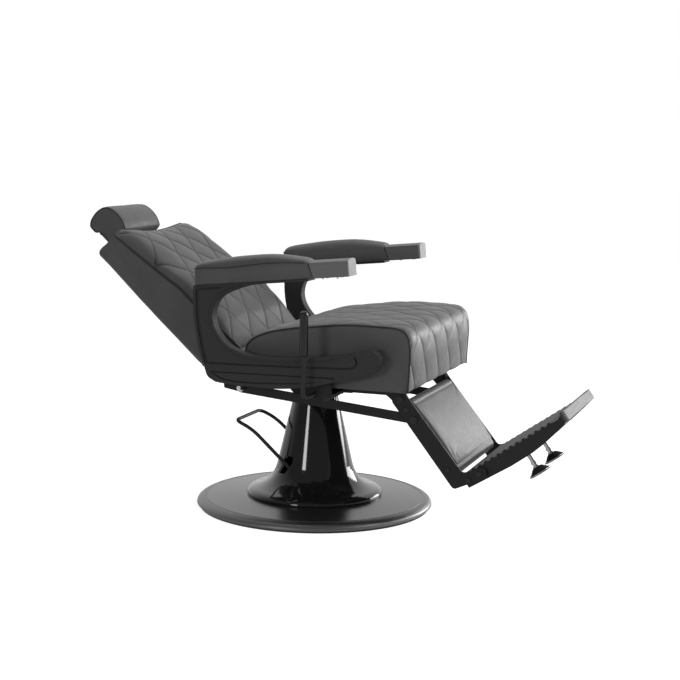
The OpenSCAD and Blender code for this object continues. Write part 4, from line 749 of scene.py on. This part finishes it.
def make_back():
    nx, last = 4 * K, back_rows
    i, j = np.meshgrid(np.arange(nx + 1), np.arange(last + 1), indexing="ij")
    down = last - j
    w = back_half(back_line[j, 1])
    x = w * (2 * i / nx - 1)
    across = (nx - np.abs(2 * i - nx)) / nx
    rise = edge_rise(across * w / back_edge)
    c = np.array(crown_at)
    crown = back_crown * np.interp(j / last, c[:, 0], c[:, 1])
    depth = back_quilt * np.minimum(1, np.minimum(j, 2 * down) / K)
    off = rise * (crown + depth * diamonds(i, down, K) - depth * 0.5)
    out = outward(back_line, -1)
    grid = back_place(x, back_line[j, 0] + out[j, 0] * off, back_line[j, 1] + out[j, 1] * off)
    uv = np.stack([(i + down) / K, (i - down) / K], axis=2)
    edges = (i == 0) | (i == nx) | (j == last) | (j == 0)
    shell = Shell()
    shell.patch(grid, uv, ((i + down) % K == 0) | ((i - down) % K == 0) | edges)
    under = back_place(x, back_line[j, 0] - 4.5, back_line[j, 1])
    shell.close(grid, under, 2)
    obj = shell.build("back_cover", MAT["quilted"])
    inflate(obj, 2.5, 3.0)
    subdivide(obj)
    sew(obj, 88.0, 2.0, 2.8)
    soft(obj, "back_cushion", "backrest")
    # Piping round the front, along both sides and over the top edge
    side = [(float(back_half(p[1])) + 0.8, p[0] - 1.5, p[1]) for p in back_line[:-3:2]]
    top_n, top_s = back_line[-1]
    half = float(back_half(top_s))
    bend = [(half + 0.8 - 10 * (1 - math.cos(a)), top_n - 1.5, top_s - 9 + 10 * math.sin(a)) for a in
        (0.2, 0.5, 0.8, 1.1, 1.4)]
    over = [(half * q, top_n - 1.5, top_s + 1) for q in np.linspace(0.93, -0.93, 25)]
    path = [(-q[0], q[1], q[2]) for q in side + bend + over] + bend[::-1] + side[::-1]
    tube("back_piping", [back_place(*q) for q in path], 2.6, "backrest", MAT["piping"], 10)


def make_back_shell():
    rear_shares = [(0.72, 0.085), (0.826, 0.28), (0.94, 0.53), (1, 0.785), (1, 0.975)]
    r_line = even_line(smooth_line([(-back_t * p[0], back_l * p[1]) for p in rear_shares], 10), 60)
    f_line = even_line(smooth_line(pipe, 10), 60)
    corner_r, end_r, side_bulge, rear_bulge = 16.0, 11.0, 2.5, 5
    inset = 0.5
    front_steps = 12

    def ring(front, rear, w):
        d = max(np.linalg.norm(front - rear), 1)
        r = min(corner_r, d * 0.45)
        pts = []
        for v in np.linspace(0, 1 - r / d, 9)[:-1]:
            pts.append((w - side_bulge * math.sin(math.pi * v / (1 - r / d)), v))
        for a in np.linspace(0, math.pi / 2, 8):
            pts.append((w - r * (1 - math.cos(a)), 1 - r / d * (1 - math.sin(a))))
        inner = w - r
        mid = [(inner * q, 1 + rear_bulge / d * (1 - q * q)) for q in np.linspace(1, -1, 15)[1:-1]]
        pts = pts + mid + [(-x, v) for x, v in pts[::-1]]
        pts += [(w * q, 0.0) for q in np.linspace(-1, 1, front_steps + 1)[1:-1]]
        v = np.array([q[1] for q in pts])
        p = front[None] + (rear - front)[None] * v[:, None]
        return back_place(np.array([q[0] for q in pts]), p[:, 0], p[:, 1], np.clip(1 - v, 0, 1))

    rings = []
    for on_front, rear in zip(f_line, r_line):
        front = on_front - (2.0, 0)
        if rear[1] > back_l - end_r:
            break
        rings.append(ring(front, rear, float(back_half(front[1])) - inset))
    start = front[1]
    for a in np.linspace(0, math.pi / 2, 8):
        s = back_l - end_r + end_r * math.sin(a)
        fs = start + (f_line[-1][1] - start) * math.sin(a)
        fn = np.interp(fs, f_line[:, 1], f_line[:, 0]) - 2
        rear = np.array([-back_t + end_r * (1 - math.cos(a)), s])
        rings.append(ring(np.array([fn, fs]), rear, float(back_half(fs)) - inset - 3 * (1 - math.cos(a))))
    g = np.array(rings)
    pin = np.zeros(g.shape[:2], bool)
    pin[0] = True
    pin[:, -front_steps:] = True
    pin[:, 0] = True
    shell = Shell()
    shell.patch(g, None, pin, wrap=True)
    shell.fan(g[0], (0, 0, 0), 6, pin=True)
    shell.fan(g[-1], (0, -s_dir[0] * 5, s_dir[1] * 5), 8)
    obj = shell.build("back_body", MAT["leather"])
    inflate(obj, 3.0, 4.0)
    subdivide(obj)
    soft(obj, "back_shell", "backrest")


# Headrest
head_w, head_t, head_l = 222, 92, 100
head_shares = [(0.13, 0), (0.03, 0.08), (0.02, 0.49), (-0.095, 0.62), (-0.11, 0.75), (-0.08, 0.88),
    (0.09, 0.97), (0.33, 1), (0.55, 0.97), (0.72, 0.89), (0.83, 0.72), (0.87, 0.5), (0.85, 0.28),
    (0.77, 0.09), (0.66, 0)]


def make_headrest():
    low = np.array([-42.0, back_l + 10])
    pts = [low + (p[0] * head_t, p[1] * head_l) for p in head_shares]
    line = smooth_line(pts + [pts[0]], 5)[:-1]
    middle = low + (head_t / 3, head_l / 2)
    line = even_line(np.vstack([line, line[:1]]), 90)[:-1]
    rows = []
    xs = np.concatenate([[-1.0, -0.985, -0.96], np.linspace(-0.92, 0.92, 40), [0.96, 0.985, 1.0]])
    for q in xs:
        swell = 1.0 + 0.022 * (1 - abs(q) ** 4) - 0.05 * max(0, (abs(q) - 0.86) / 0.14) ** 2
        p = middle + (line - middle) * swell
        rows.append([world(q * (head_w / 2 - 3), on_back(*c)) for c in p])
    g = np.array(rows)
    shell = Shell()
    pin = np.zeros(g.shape[:2], bool)
    pin[0] = pin[-1] = True
    shell.patch(g, None, pin, wrap=True)
    shell.fan(g[0], (-3, 0, 0), 10)
    shell.fan(g[-1], (3, 0, 0), 10)
    obj = shell.build("headrest_cover", MAT["leather"])
    inflate(obj, 3.0, 2.5)
    subdivide(obj)
    soft(obj, "headrest_pad", "headrest")
    for s, tag in ((-1, "right"), (1, "left")):
        p = middle + (line - middle) * 0.955
        path = [world(s * (head_w / 2 - 3.5), on_back(*c)) for c in p]
        tube("headrest_piping_" + tag, path, 1.9, "headrest", MAT["piping"], 8, closed=True)


# Arm pads
slope = math.radians(5.8)
pad_w, pad_l, pad_h, pad_rear, pad_centre = 66, 335, 68, -218, 312
# Shares along the pad: place, width, height of the seam, height of the crown over it
pad_shares = [(0, 0.6, 0.63, 0.12), (0.006, 0.74, 0.64, 0.14), (0.015, 0.855, 0.65, 0.16),
    (0.03, 0.94, 0.66, 0.19), (0.05, 0.985, 0.66, 0.215), (0.075, 1, 0.66, 0.235), (0.1, 1, 0.655, 0.255),
    (0.18, 1, 0.63, 0.31), (0.27, 1, 0.615, 0.355), (0.36, 1, 0.625, 0.37), (0.46, 1, 0.65, 0.355),
    (0.56, 1, 0.675, 0.33), (0.66, 1, 0.68, 0.31), (0.76, 1, 0.67, 0.27), (0.86, 1, 0.64, 0.22),
    (0.95, 1, 0.6, 0.18), (1, 1, 0.53, 0.19)]


def pad_under(f):
    return 662.0 + (f - 8.0) * math.tan(slope)


def make_arm_pad(s, tag):
    q = np.array(pad_shares)
    stations = [0, 0.004, 0.01, 0.018, 0.03, 0.045, *np.linspace(0.065, 0.97, 64), 0.985, 1.0]
    rows, seams = [], []
    for t in stations:
        w = np.interp(t, q[:, 0], q[:, 1]) * pad_w / 2
        h = np.interp(t, q[:, 0], q[:, 2]) * pad_h
        crown = np.interp(t, q[:, 0], q[:, 3]) * pad_h
        f = pad_rear + t * pad_l
        lean_f = 16 * t ** 3 / h
        ring = [(-w + 1.5, 0.0)]
        ring += [(-w - 1.6 * math.sin(math.pi * v), h * v) for v in np.linspace(0.06, 0.97, 10)]
        ring += [(-w * math.cos(a), h + crown * math.sin(a) ** 0.8) for a in
            np.linspace(0.02, math.pi / 2, 13)]
        low = h * np.interp(t, (0, 0.2, 0.5), (0.9, 0.8, 0.66))
        ring += [(-w * math.cos(a), low + (h + crown - low) * math.sin(a) ** 0.72) for a in
            np.linspace(math.pi / 2, math.pi, 15)[1:]]
        ring += [(w + 0.8 * math.sin(math.pi * v), low * v) for v in np.linspace(0.94, 0.08, 8)]
        ring += [(w - 1.5, 0.0)] + [(w * v, 0.0) for v in (0.5, 0, -0.5)]
        ring = [(-s * a, b) for a, b in ring]
        rows.append([(s * pad_centre + a, b * lean_f - f, pad_under(f) + b) for a, b in ring])
        seams.append((w, h, f, lean_f))
    g = np.array(rows)
    shell = Shell()
    pin = np.zeros(g.shape[:2], bool)
    pin[0] = pin[-1] = pin[-2] = True
    pin[:, 0] = pin[:, 10] = pin[:, -4:] = True
    shell.patch(g, None, pin, wrap=True)
    shell.fan(g[0], (0, 2, 0), 6, pin=True)
    shell.fan(g[-1], (0, 0, 0), 4, pin=True)
    obj = shell.build("arm_pad_cover_" + tag, MAT["leather"])
    inflate(obj, 3.0, 2.5)
    subdivide(obj)
    soft(obj, "arm_pad_" + tag, "seat")
    side = [(s * (w + 0.9), h, f, l) for w, h, f, l in seams[::-1]]
    path = [(s * pad_centre + a, b * l - f, pad_under(f) + b) for a, b, f, l in side[2:]]
    w, h, f, l = side[-1]
    path += [(s * pad_centre + c * w, 1.2 - f, pad_under(f) + h) for c in np.linspace(0.8, -0.8, 7)]
    path += [(s * pad_centre - a, b * l - f, pad_under(f) + b * q) for (a, b, f, l), q in
        zip(side[:-8:-1], (0.99, 0.97, 0.94, 0.9, 0.86, 0.82, 0.78))]
    tube("arm_pad_piping_" + tag, path, 1.9, "seat", MAT["piping"], 8)


# Leg rest
leg_hinge = hinge + (493.0, -48.0)
leg_lean = math.radians(38)
leg_n = np.array([math.cos(leg_lean), math.sin(leg_lean)])
leg_s = np.array([-leg_n[1], leg_n[0]])


def on_leg(n, s):
    return leg_hinge + n * leg_n + s * leg_s


def make_calf_pad():
    base_n, front_n, high, low, half = 4.3, 26.0, -10.0, -245.0, 189.5
    low_seam, high_seam = 0.09, 0.91
    nx, ny = 120, 84
    i, j = np.meshgrid(np.arange(nx + 1), np.arange(ny + 1), indexing="ij")
    x = half * (2 * i / nx - 1)
    v = j / ny
    ex = np.minimum(half - np.abs(x), 30) / 7
    es = np.minimum(v, 1 - v) * (high - low) / 12
    body = edge_rise(ex) * edge_rise(es)
    seam = np.zeros_like(v)
    for place in (low_seam, high_seam):
        seam = np.maximum(seam, np.exp(-((v - place) * (high - low) / 4.0) ** 2))
    swell = np.sin(np.pi * np.clip((v - low_seam) / (high_seam - low_seam), 0, 1)) * 2.2
    border = np.clip((np.abs(v - 0.5) - (high_seam - 0.5)) / (1 - high_seam), 0, 1) * 8.0
    n = base_n + (front_n - base_n) * (0.5 + 0.5 * body) * (1 - 0.16 * seam * edge_rise(ex))
    n = n + (swell - border) * edge_rise(ex)
    s = low + v * (high - low)
    f = leg_hinge[0] + n * leg_n[0] + s * leg_s[0]
    z = leg_hinge[1] + n * leg_n[1] + s * leg_s[1]
    face = np.stack([x, -f, z], axis=2)
    fb = leg_hinge[0] + base_n * leg_n[0] + s * leg_s[0]
    zb = leg_hinge[1] + base_n * leg_n[1] + s * leg_s[1]
    back = np.stack([x, -fb, zb], axis=2)
    shell = Shell()
    near_seam = (np.abs(v - low_seam) < 0.007) | (np.abs(v - high_seam) < 0.007)
    shell.patch(face, None, near_seam | (i == 0) | (i == nx) | (j == 0) | (j == ny))
    shell.close(face, back, 3)
    obj = shell.build("calf_cover", MAT["leather"])
    inflate(obj, 3.0, 3.0)
    subdivide(obj)
    soft(obj, "calf_pad", "leg_rest")


# Rolled edge round the C-shaped opening of the arm frames, on both faces
arm_rear, arm_low, arm_l, arm_h = -222, 381, 517, 281


def arm_place(p):
    return np.array([arm_rear + p[0] * arm_l, arm_low + p[1] * arm_h])


def make_arm_edges():
    shares = [(0.853, 0.377), (0.76, 0.342), (0.667, 0.317), (0.478, 0.288), (0.33, 0.295),
        (0.265, 0.32), (0.198, 0.37), (0.153, 0.445), (0.122, 0.534), (0.109, 0.626), (0.115, 0.712),
        (0.134, 0.786), (0.165, 0.84), (0.218, 0.886), (0.27, 0.92)]
    line = smooth_line([arm_place(p) for p in shares], 6)
    out = outward(line)
    for s, tag in ((-1, "right"), (1, "left")):
        for x, r, face in ((334.6, 4.6, "outer"), (307.6, 3.4, "inner")):
            path = [world(s * x, p + o * r * 0.95) for p, o in zip(line, out)]
            ends = np.minimum(1, (np.arange(len(path)) + 1) / 10)
            radii = r * np.minimum(ends, ends[::-1]) ** 0.5
            tube("arm_edge_%s_%s" % (face, tag), path, r, "seat", MAT["arm_black"], 12,
                radii=radii)


# Bolt heads
def socket_heads(name, places, x_face, radius, height, body, material):
    """Round heads along X with a hexagonal socket, on both sides."""
    verts, faces = [], []
    steps = 36
    circle = [radius] * steps
    hexagon = [0.52 * radius / math.cos((2 * math.pi * k / steps + math.pi / 6) % (math.pi / 3) - math.pi / 6)
        for k in range(steps)]
    rows = [(circle, 0.97, 0.0), (circle, 1, 0.25), (circle, 1, height * 0.7),
        (circle, 0.95, height * 0.9), (circle, 0.84, height), (hexagon, 1.08, height),
        (hexagon, 1, height - 0.3), (hexagon, 1, height * 0.35)]
    last = (len(rows) - 1) * steps
    for place in places:
        for s in (-1, 1):
            base = len(verts)
            for outline, share, h in rows:
                for k in range(steps):
                    a = 2 * math.pi * k / steps
                    r = outline[k] * share
                    verts.append((s * (x_face + h), -place[0] + r * math.cos(a),
                        place[1] + r * math.sin(a)))
            new = []
            for i in range(len(rows) - 1):
                for k in range(steps):
                    a, b = base + i * steps + k, base + i * steps + (k + 1) % steps
                    new.append((a, b, b + steps, a + steps))
            new.append(tuple(base + last + k for k in range(steps)))
            new.append(tuple(base + k for k in range(steps))[::-1])
            faces.extend(new if s > 0 else [face[::-1] for face in new])
    obj = finish_mesh(name, verts, faces, material)
    obj.data.set_sharp_from_angle(angle=math.radians(38))
    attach(obj, body)


# Foot plate: its lean, and where it starts on the leg rest. Each of its two
# cups is a flat black cone with a chrome ring round its edge
foot_way = math.radians(35)
foot_start = (-20.5, -270.0)
cup_x, cup_c, cup_h, collar_h = 93.0, 193.0, -85.0, -64.8
foot_c = np.array([math.cos(foot_way), math.sin(foot_way)])
foot_up = np.array([-foot_c[1], foot_c[0]])


def on_foot(c, h):
    return on_leg(*foot_start) + c * foot_c + h * foot_up


def make_feet():
    axis = (0, -foot_up[0], foot_up[1])
    cone = [(7.6, 0.3), (26, 0.3), (29.5, 0.8), (31.2, 2.0), (31.2, 3.6), (30, 4.6), (26, 7.2),
        (21.5, 11.5), (17.5, 15.6), (14.6, 17.9), (12.4, 19.4), (11.2, 20), (7.6, 20)]
    collar = [(7.55, 0), (10.2, 0), (11.2, 0.8), (11.4, 2), (11.2, 3.2), (10.2, 4), (7.55, 4)]
    rim = [(29.6 + 1.9 * math.cos(a), 4.3 + 1.9 * math.sin(a)) for a in np.linspace(0, 2 * math.pi, 13)]
    for s, tag in ((-1, "right"), (1, "left")):
        at = world(s * cup_x, on_foot(cup_c, cup_h))
        cups = lathe("foot_cup_" + tag, cone, at, axis, "leg_rest", MAT["rubber"])
        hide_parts("foot_cups")
        lathe("foot_cup_ring_" + tag, rim, at, axis, "leg_rest", MAT["chrome"])
        at = world(s * cup_x, on_foot(cup_c, collar_h))
        lathe("foot_collar_" + tag, collar, at, axis, "leg_rest", MAT["chrome"], 48)


def make_tread():
    """Smooth waves over the cast ribs of the foot plate."""
    plate = nodes["foot_plate"]
    pts = np.array([tuple(plate.matrix_world @ v.co) for v in plate.data.vertices]) / MM
    origin = on_foot(0.0, 0.0)
    h = (-pts[:, 1] - origin[0]) * foot_up[0] + (pts[:, 2] - origin[1]) * foot_up[1]
    rib_top = h[np.abs(pts[:, 0]) < 150].max()
    half, start, end, pitch, first, wave = 187.0, 36.0, 333.0, 19.5, 53.5, 6.0
    xs = np.concatenate([[-half, -half + 1.5], np.linspace(-half + 5, half - 5, 24), [half - 1.5, half]])
    cs = np.linspace(start, end, 240)
    xx, cc = np.meshgrid(xs, cs, indexing="ij")
    ends = edge_rise(np.minimum(cc - start, end - cc) / 5)
    ends = ends * (0.6 + 0.4 * edge_rise((half - np.abs(xx)) / 4))
    ridges = (0.5 + 0.5 * np.cos(2 * math.pi * (cc - first) / pitch)) ** 0.8
    top = rib_top - wave + (wave + 0.6) * ends * ridges

    def place(height):
        f = origin[0] + cc * foot_c[0] + height * foot_up[0]
        z = origin[1] + cc * foot_c[1] + height * foot_up[1]
        return np.stack([xx, -f, z], axis=2)

    up, under = place(top), place(np.full_like(top, rib_top - wave - 1.5))
    shell = Shell()
    shell.patch(up)
    shell.close(up, under, 1)
    obj = shell.build("foot_tread", MAT["tread"])
    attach(obj, "leg_rest")


def make_cap_screws():
    """Small domed heads under the outer edge of each metal cap."""
    dome = [(0, -2.4), (1.6, -2.2), (2.7, -1.4), (3.2, 0.0), (3.2, 1.0)]
    for s, tag in ((-1, "right"), (1, "left")):
        for k, place in enumerate(((140.5, 674.5), (180.0, 678.0))):
            at = world(s * (pad_centre + 26.0), place)
            lathe("cap_screw_head_%s_%d" % (tag, k + 1), dome, at, (0, 0, 1), "seat", MAT["steel"],
                24)


def make_rim_line():
    """The thin line between the base's disc and its ring."""
    line_r, line_z = 304.4, 27.0
    ring = [(line_r + 1.1 * math.cos(a), line_z + 0.8 * math.sin(a)) for a in
        np.linspace(0, 2 * math.pi, 11)]
    lathe("base_rim_line", ring, (0, 0, 0), (0, 0, 1), "base", MAT["rim_line"], 180)


make_arm_edges()
make_feet()
make_rim_line()
make_tread()
make_cap_screws()
for name, places, x_face, radius, height, body in (
        ("hinge_heads", [leg_hinge], 198.3, 10.0, 5.0, "seat"),
        ("link_heads", [leg_hinge + (39.0, -51.0)], 198.3, 10.0, 5.0, "leg_rest"),
        ("foot_bolt_heads", [on_foot(48.0, 0.0), on_foot(82.0, 0.0)], 198.0, 7.0, 4.0, "leg_rest")):
    socket_heads(name, [tuple(p) for p in places], x_face, radius + 0.15, height + 0.15, body,
        MAT["satin_black"])
make_seat()
make_back()
make_back_shell()
make_headrest()
make_arm_pad(-1, "right")
make_arm_pad(1, "left")
make_calf_pad()

# Rigid nodes keep their CAD shape, with rounded edges where they show
for node, width in (("arm_frame_right", 1.2), ("arm_frame_left", 1.2), ("arm_cap_right", 1.2),
        ("arm_cap_left", 1.2), ("leg_arm_right", 0.7), ("leg_arm_left", 0.7), ("link_bar_right", 0.7),
        ("link_bar_left", 0.7), ("foot_plate", 0.8), ("toe_trim", 1.2), ("arm_brackets", 0.8),
        ("seat_frame", 0.7), ("headrest_bar", 1.0), ("headrest_guide", 0.8), ("back_brackets", 0.7),
        ("swivel_head", 1.5)):
    bevelled(node, width)

for name, obj in nodes.items():
    mats = obj.data.materials
    mats.clear()
    mats.append(look(name))


# Floor, background and lights
FLOOR_HALF = 30
SEEN_LEVEL, MIRRORED_LEVEL, DIFFUSE_LEVEL = 0.85, 0.35, 0.36
# Name, place and size in metres, and power in watts. All are turned to the chair
LAMPS = [
    ("key", (0.6, -3.4, 2.2), (2.6, 2.0), 62),
    ("top", (0.4, 0.3, 3.4), (2.4, 2.4), 22),
    ("far", (2.9, -2.1, 0.85), (2.0, 1.2), 62),
    ("fill", (-3.2, -2.6, 2.2), (1.6, 2.2), 30),
    ("strip", (-4.35, 1.0, 1.2), (0.8, 0.6), 20),
]
CHAIR_MIDDLE = Vector((0, -0.05, 0.5))


def make_floor():
    me = bpy.data.meshes.new("floor")
    corners = [(x * FLOOR_HALF, y * FLOOR_HALF, 0) for x, y in ((-1, -1), (1, -1), (1, 1), (-1, 1))]
    me.from_pydata(corners, [], [(0, 1, 2, 3)])
    floor = bpy.data.objects.new("floor", me)
    bpy.context.scene.collection.objects.link(floor)
    m = bpy.data.materials.new("floor")
    m.use_nodes = True
    t = m.node_tree
    t.nodes.clear()
    out = t.nodes.new("ShaderNodeOutputMaterial")
    dif = t.nodes.new("ShaderNodeBsdfDiffuse")
    dif.inputs[0].default_value = (0.45, 0.45, 0.45, 1)
    em = t.nodes.new("ShaderNodeEmission")
    path = t.nodes.new("ShaderNodeLightPath")
    seen = math_node(t, "MAXIMUM", path.outputs["Is Camera Ray"], path.outputs["Is Transmission Ray"])
    mirrored = math_node(t, "MULTIPLY", path.outputs["Is Glossy Ray"], MIRRORED_LEVEL)
    t.links.new(math_node(t, "MULTIPLY_ADD", seen, SEEN_LEVEL, mirrored), em.inputs["Strength"])
    both = t.nodes.new("ShaderNodeAddShader")
    t.links.new(dif.outputs[0], both.inputs[0])
    t.links.new(em.outputs[0], both.inputs[1])
    t.links.new(both.outputs[0], out.inputs[0])
    me.materials.append(m)


def make_world():
    """White to the camera, and brighter behind the chair than behind the camera in reflections."""
    world_data = bpy.data.worlds.new("studio")
    bpy.context.scene.world = world_data
    world_data.use_nodes = True
    w = world_data.node_tree
    w.nodes.clear()
    out = w.nodes.new("ShaderNodeOutputWorld")
    bg = w.nodes.new("ShaderNodeBackground")
    bg.inputs[0].default_value = (1, 1, 1, 1)
    tc = w.nodes.new("ShaderNodeTexCoord")
    sep = w.nodes.new("ShaderNodeSeparateXYZ")
    w.links.new(tc.outputs["Generated"], sep.inputs[0])
    along = math_node(w, "MULTIPLY_ADD", sep.outputs[0], 0.5, 0.5)
    back = ramp(w, along, ((0.25, 0.22), (0.75, 1.0)))
    path = w.nodes.new("ShaderNodeLightPath")
    level = math_node(w, "MULTIPLY", path.outputs["Is Diffuse Ray"], DIFFUSE_LEVEL)
    level = math_node(w, "ADD", level, path.outputs["Is Camera Ray"])
    gloss = math_node(w, "MAXIMUM", path.outputs["Is Glossy Ray"], path.outputs["Is Transmission Ray"])
    level = math_node(w, "ADD", level, math_node(w, "MULTIPLY", gloss, back))
    w.links.new(level, bg.inputs["Strength"])
    w.links.new(bg.outputs[0], out.inputs[0])


def make_lamps():
    for name, place, size, power in LAMPS:
        data = bpy.data.lights.new(name, "AREA")
        data.shape = "RECTANGLE"
        data.size, data.size_y = size
        data.energy = power
        light = bpy.data.objects.new(name, data)
        light.location = place
        light.visible_glossy = name != "fill"
        light.visible_camera = False
        aim = CHAIR_MIDDLE - Vector(place)
        light.rotation_euler = aim.to_track_quat("-Z", "Y").to_euler()
        bpy.context.scene.collection.objects.link(light)


make_floor()
make_world()
make_lamps()
bpy.context.scene.view_settings.view_transform = "Standard"
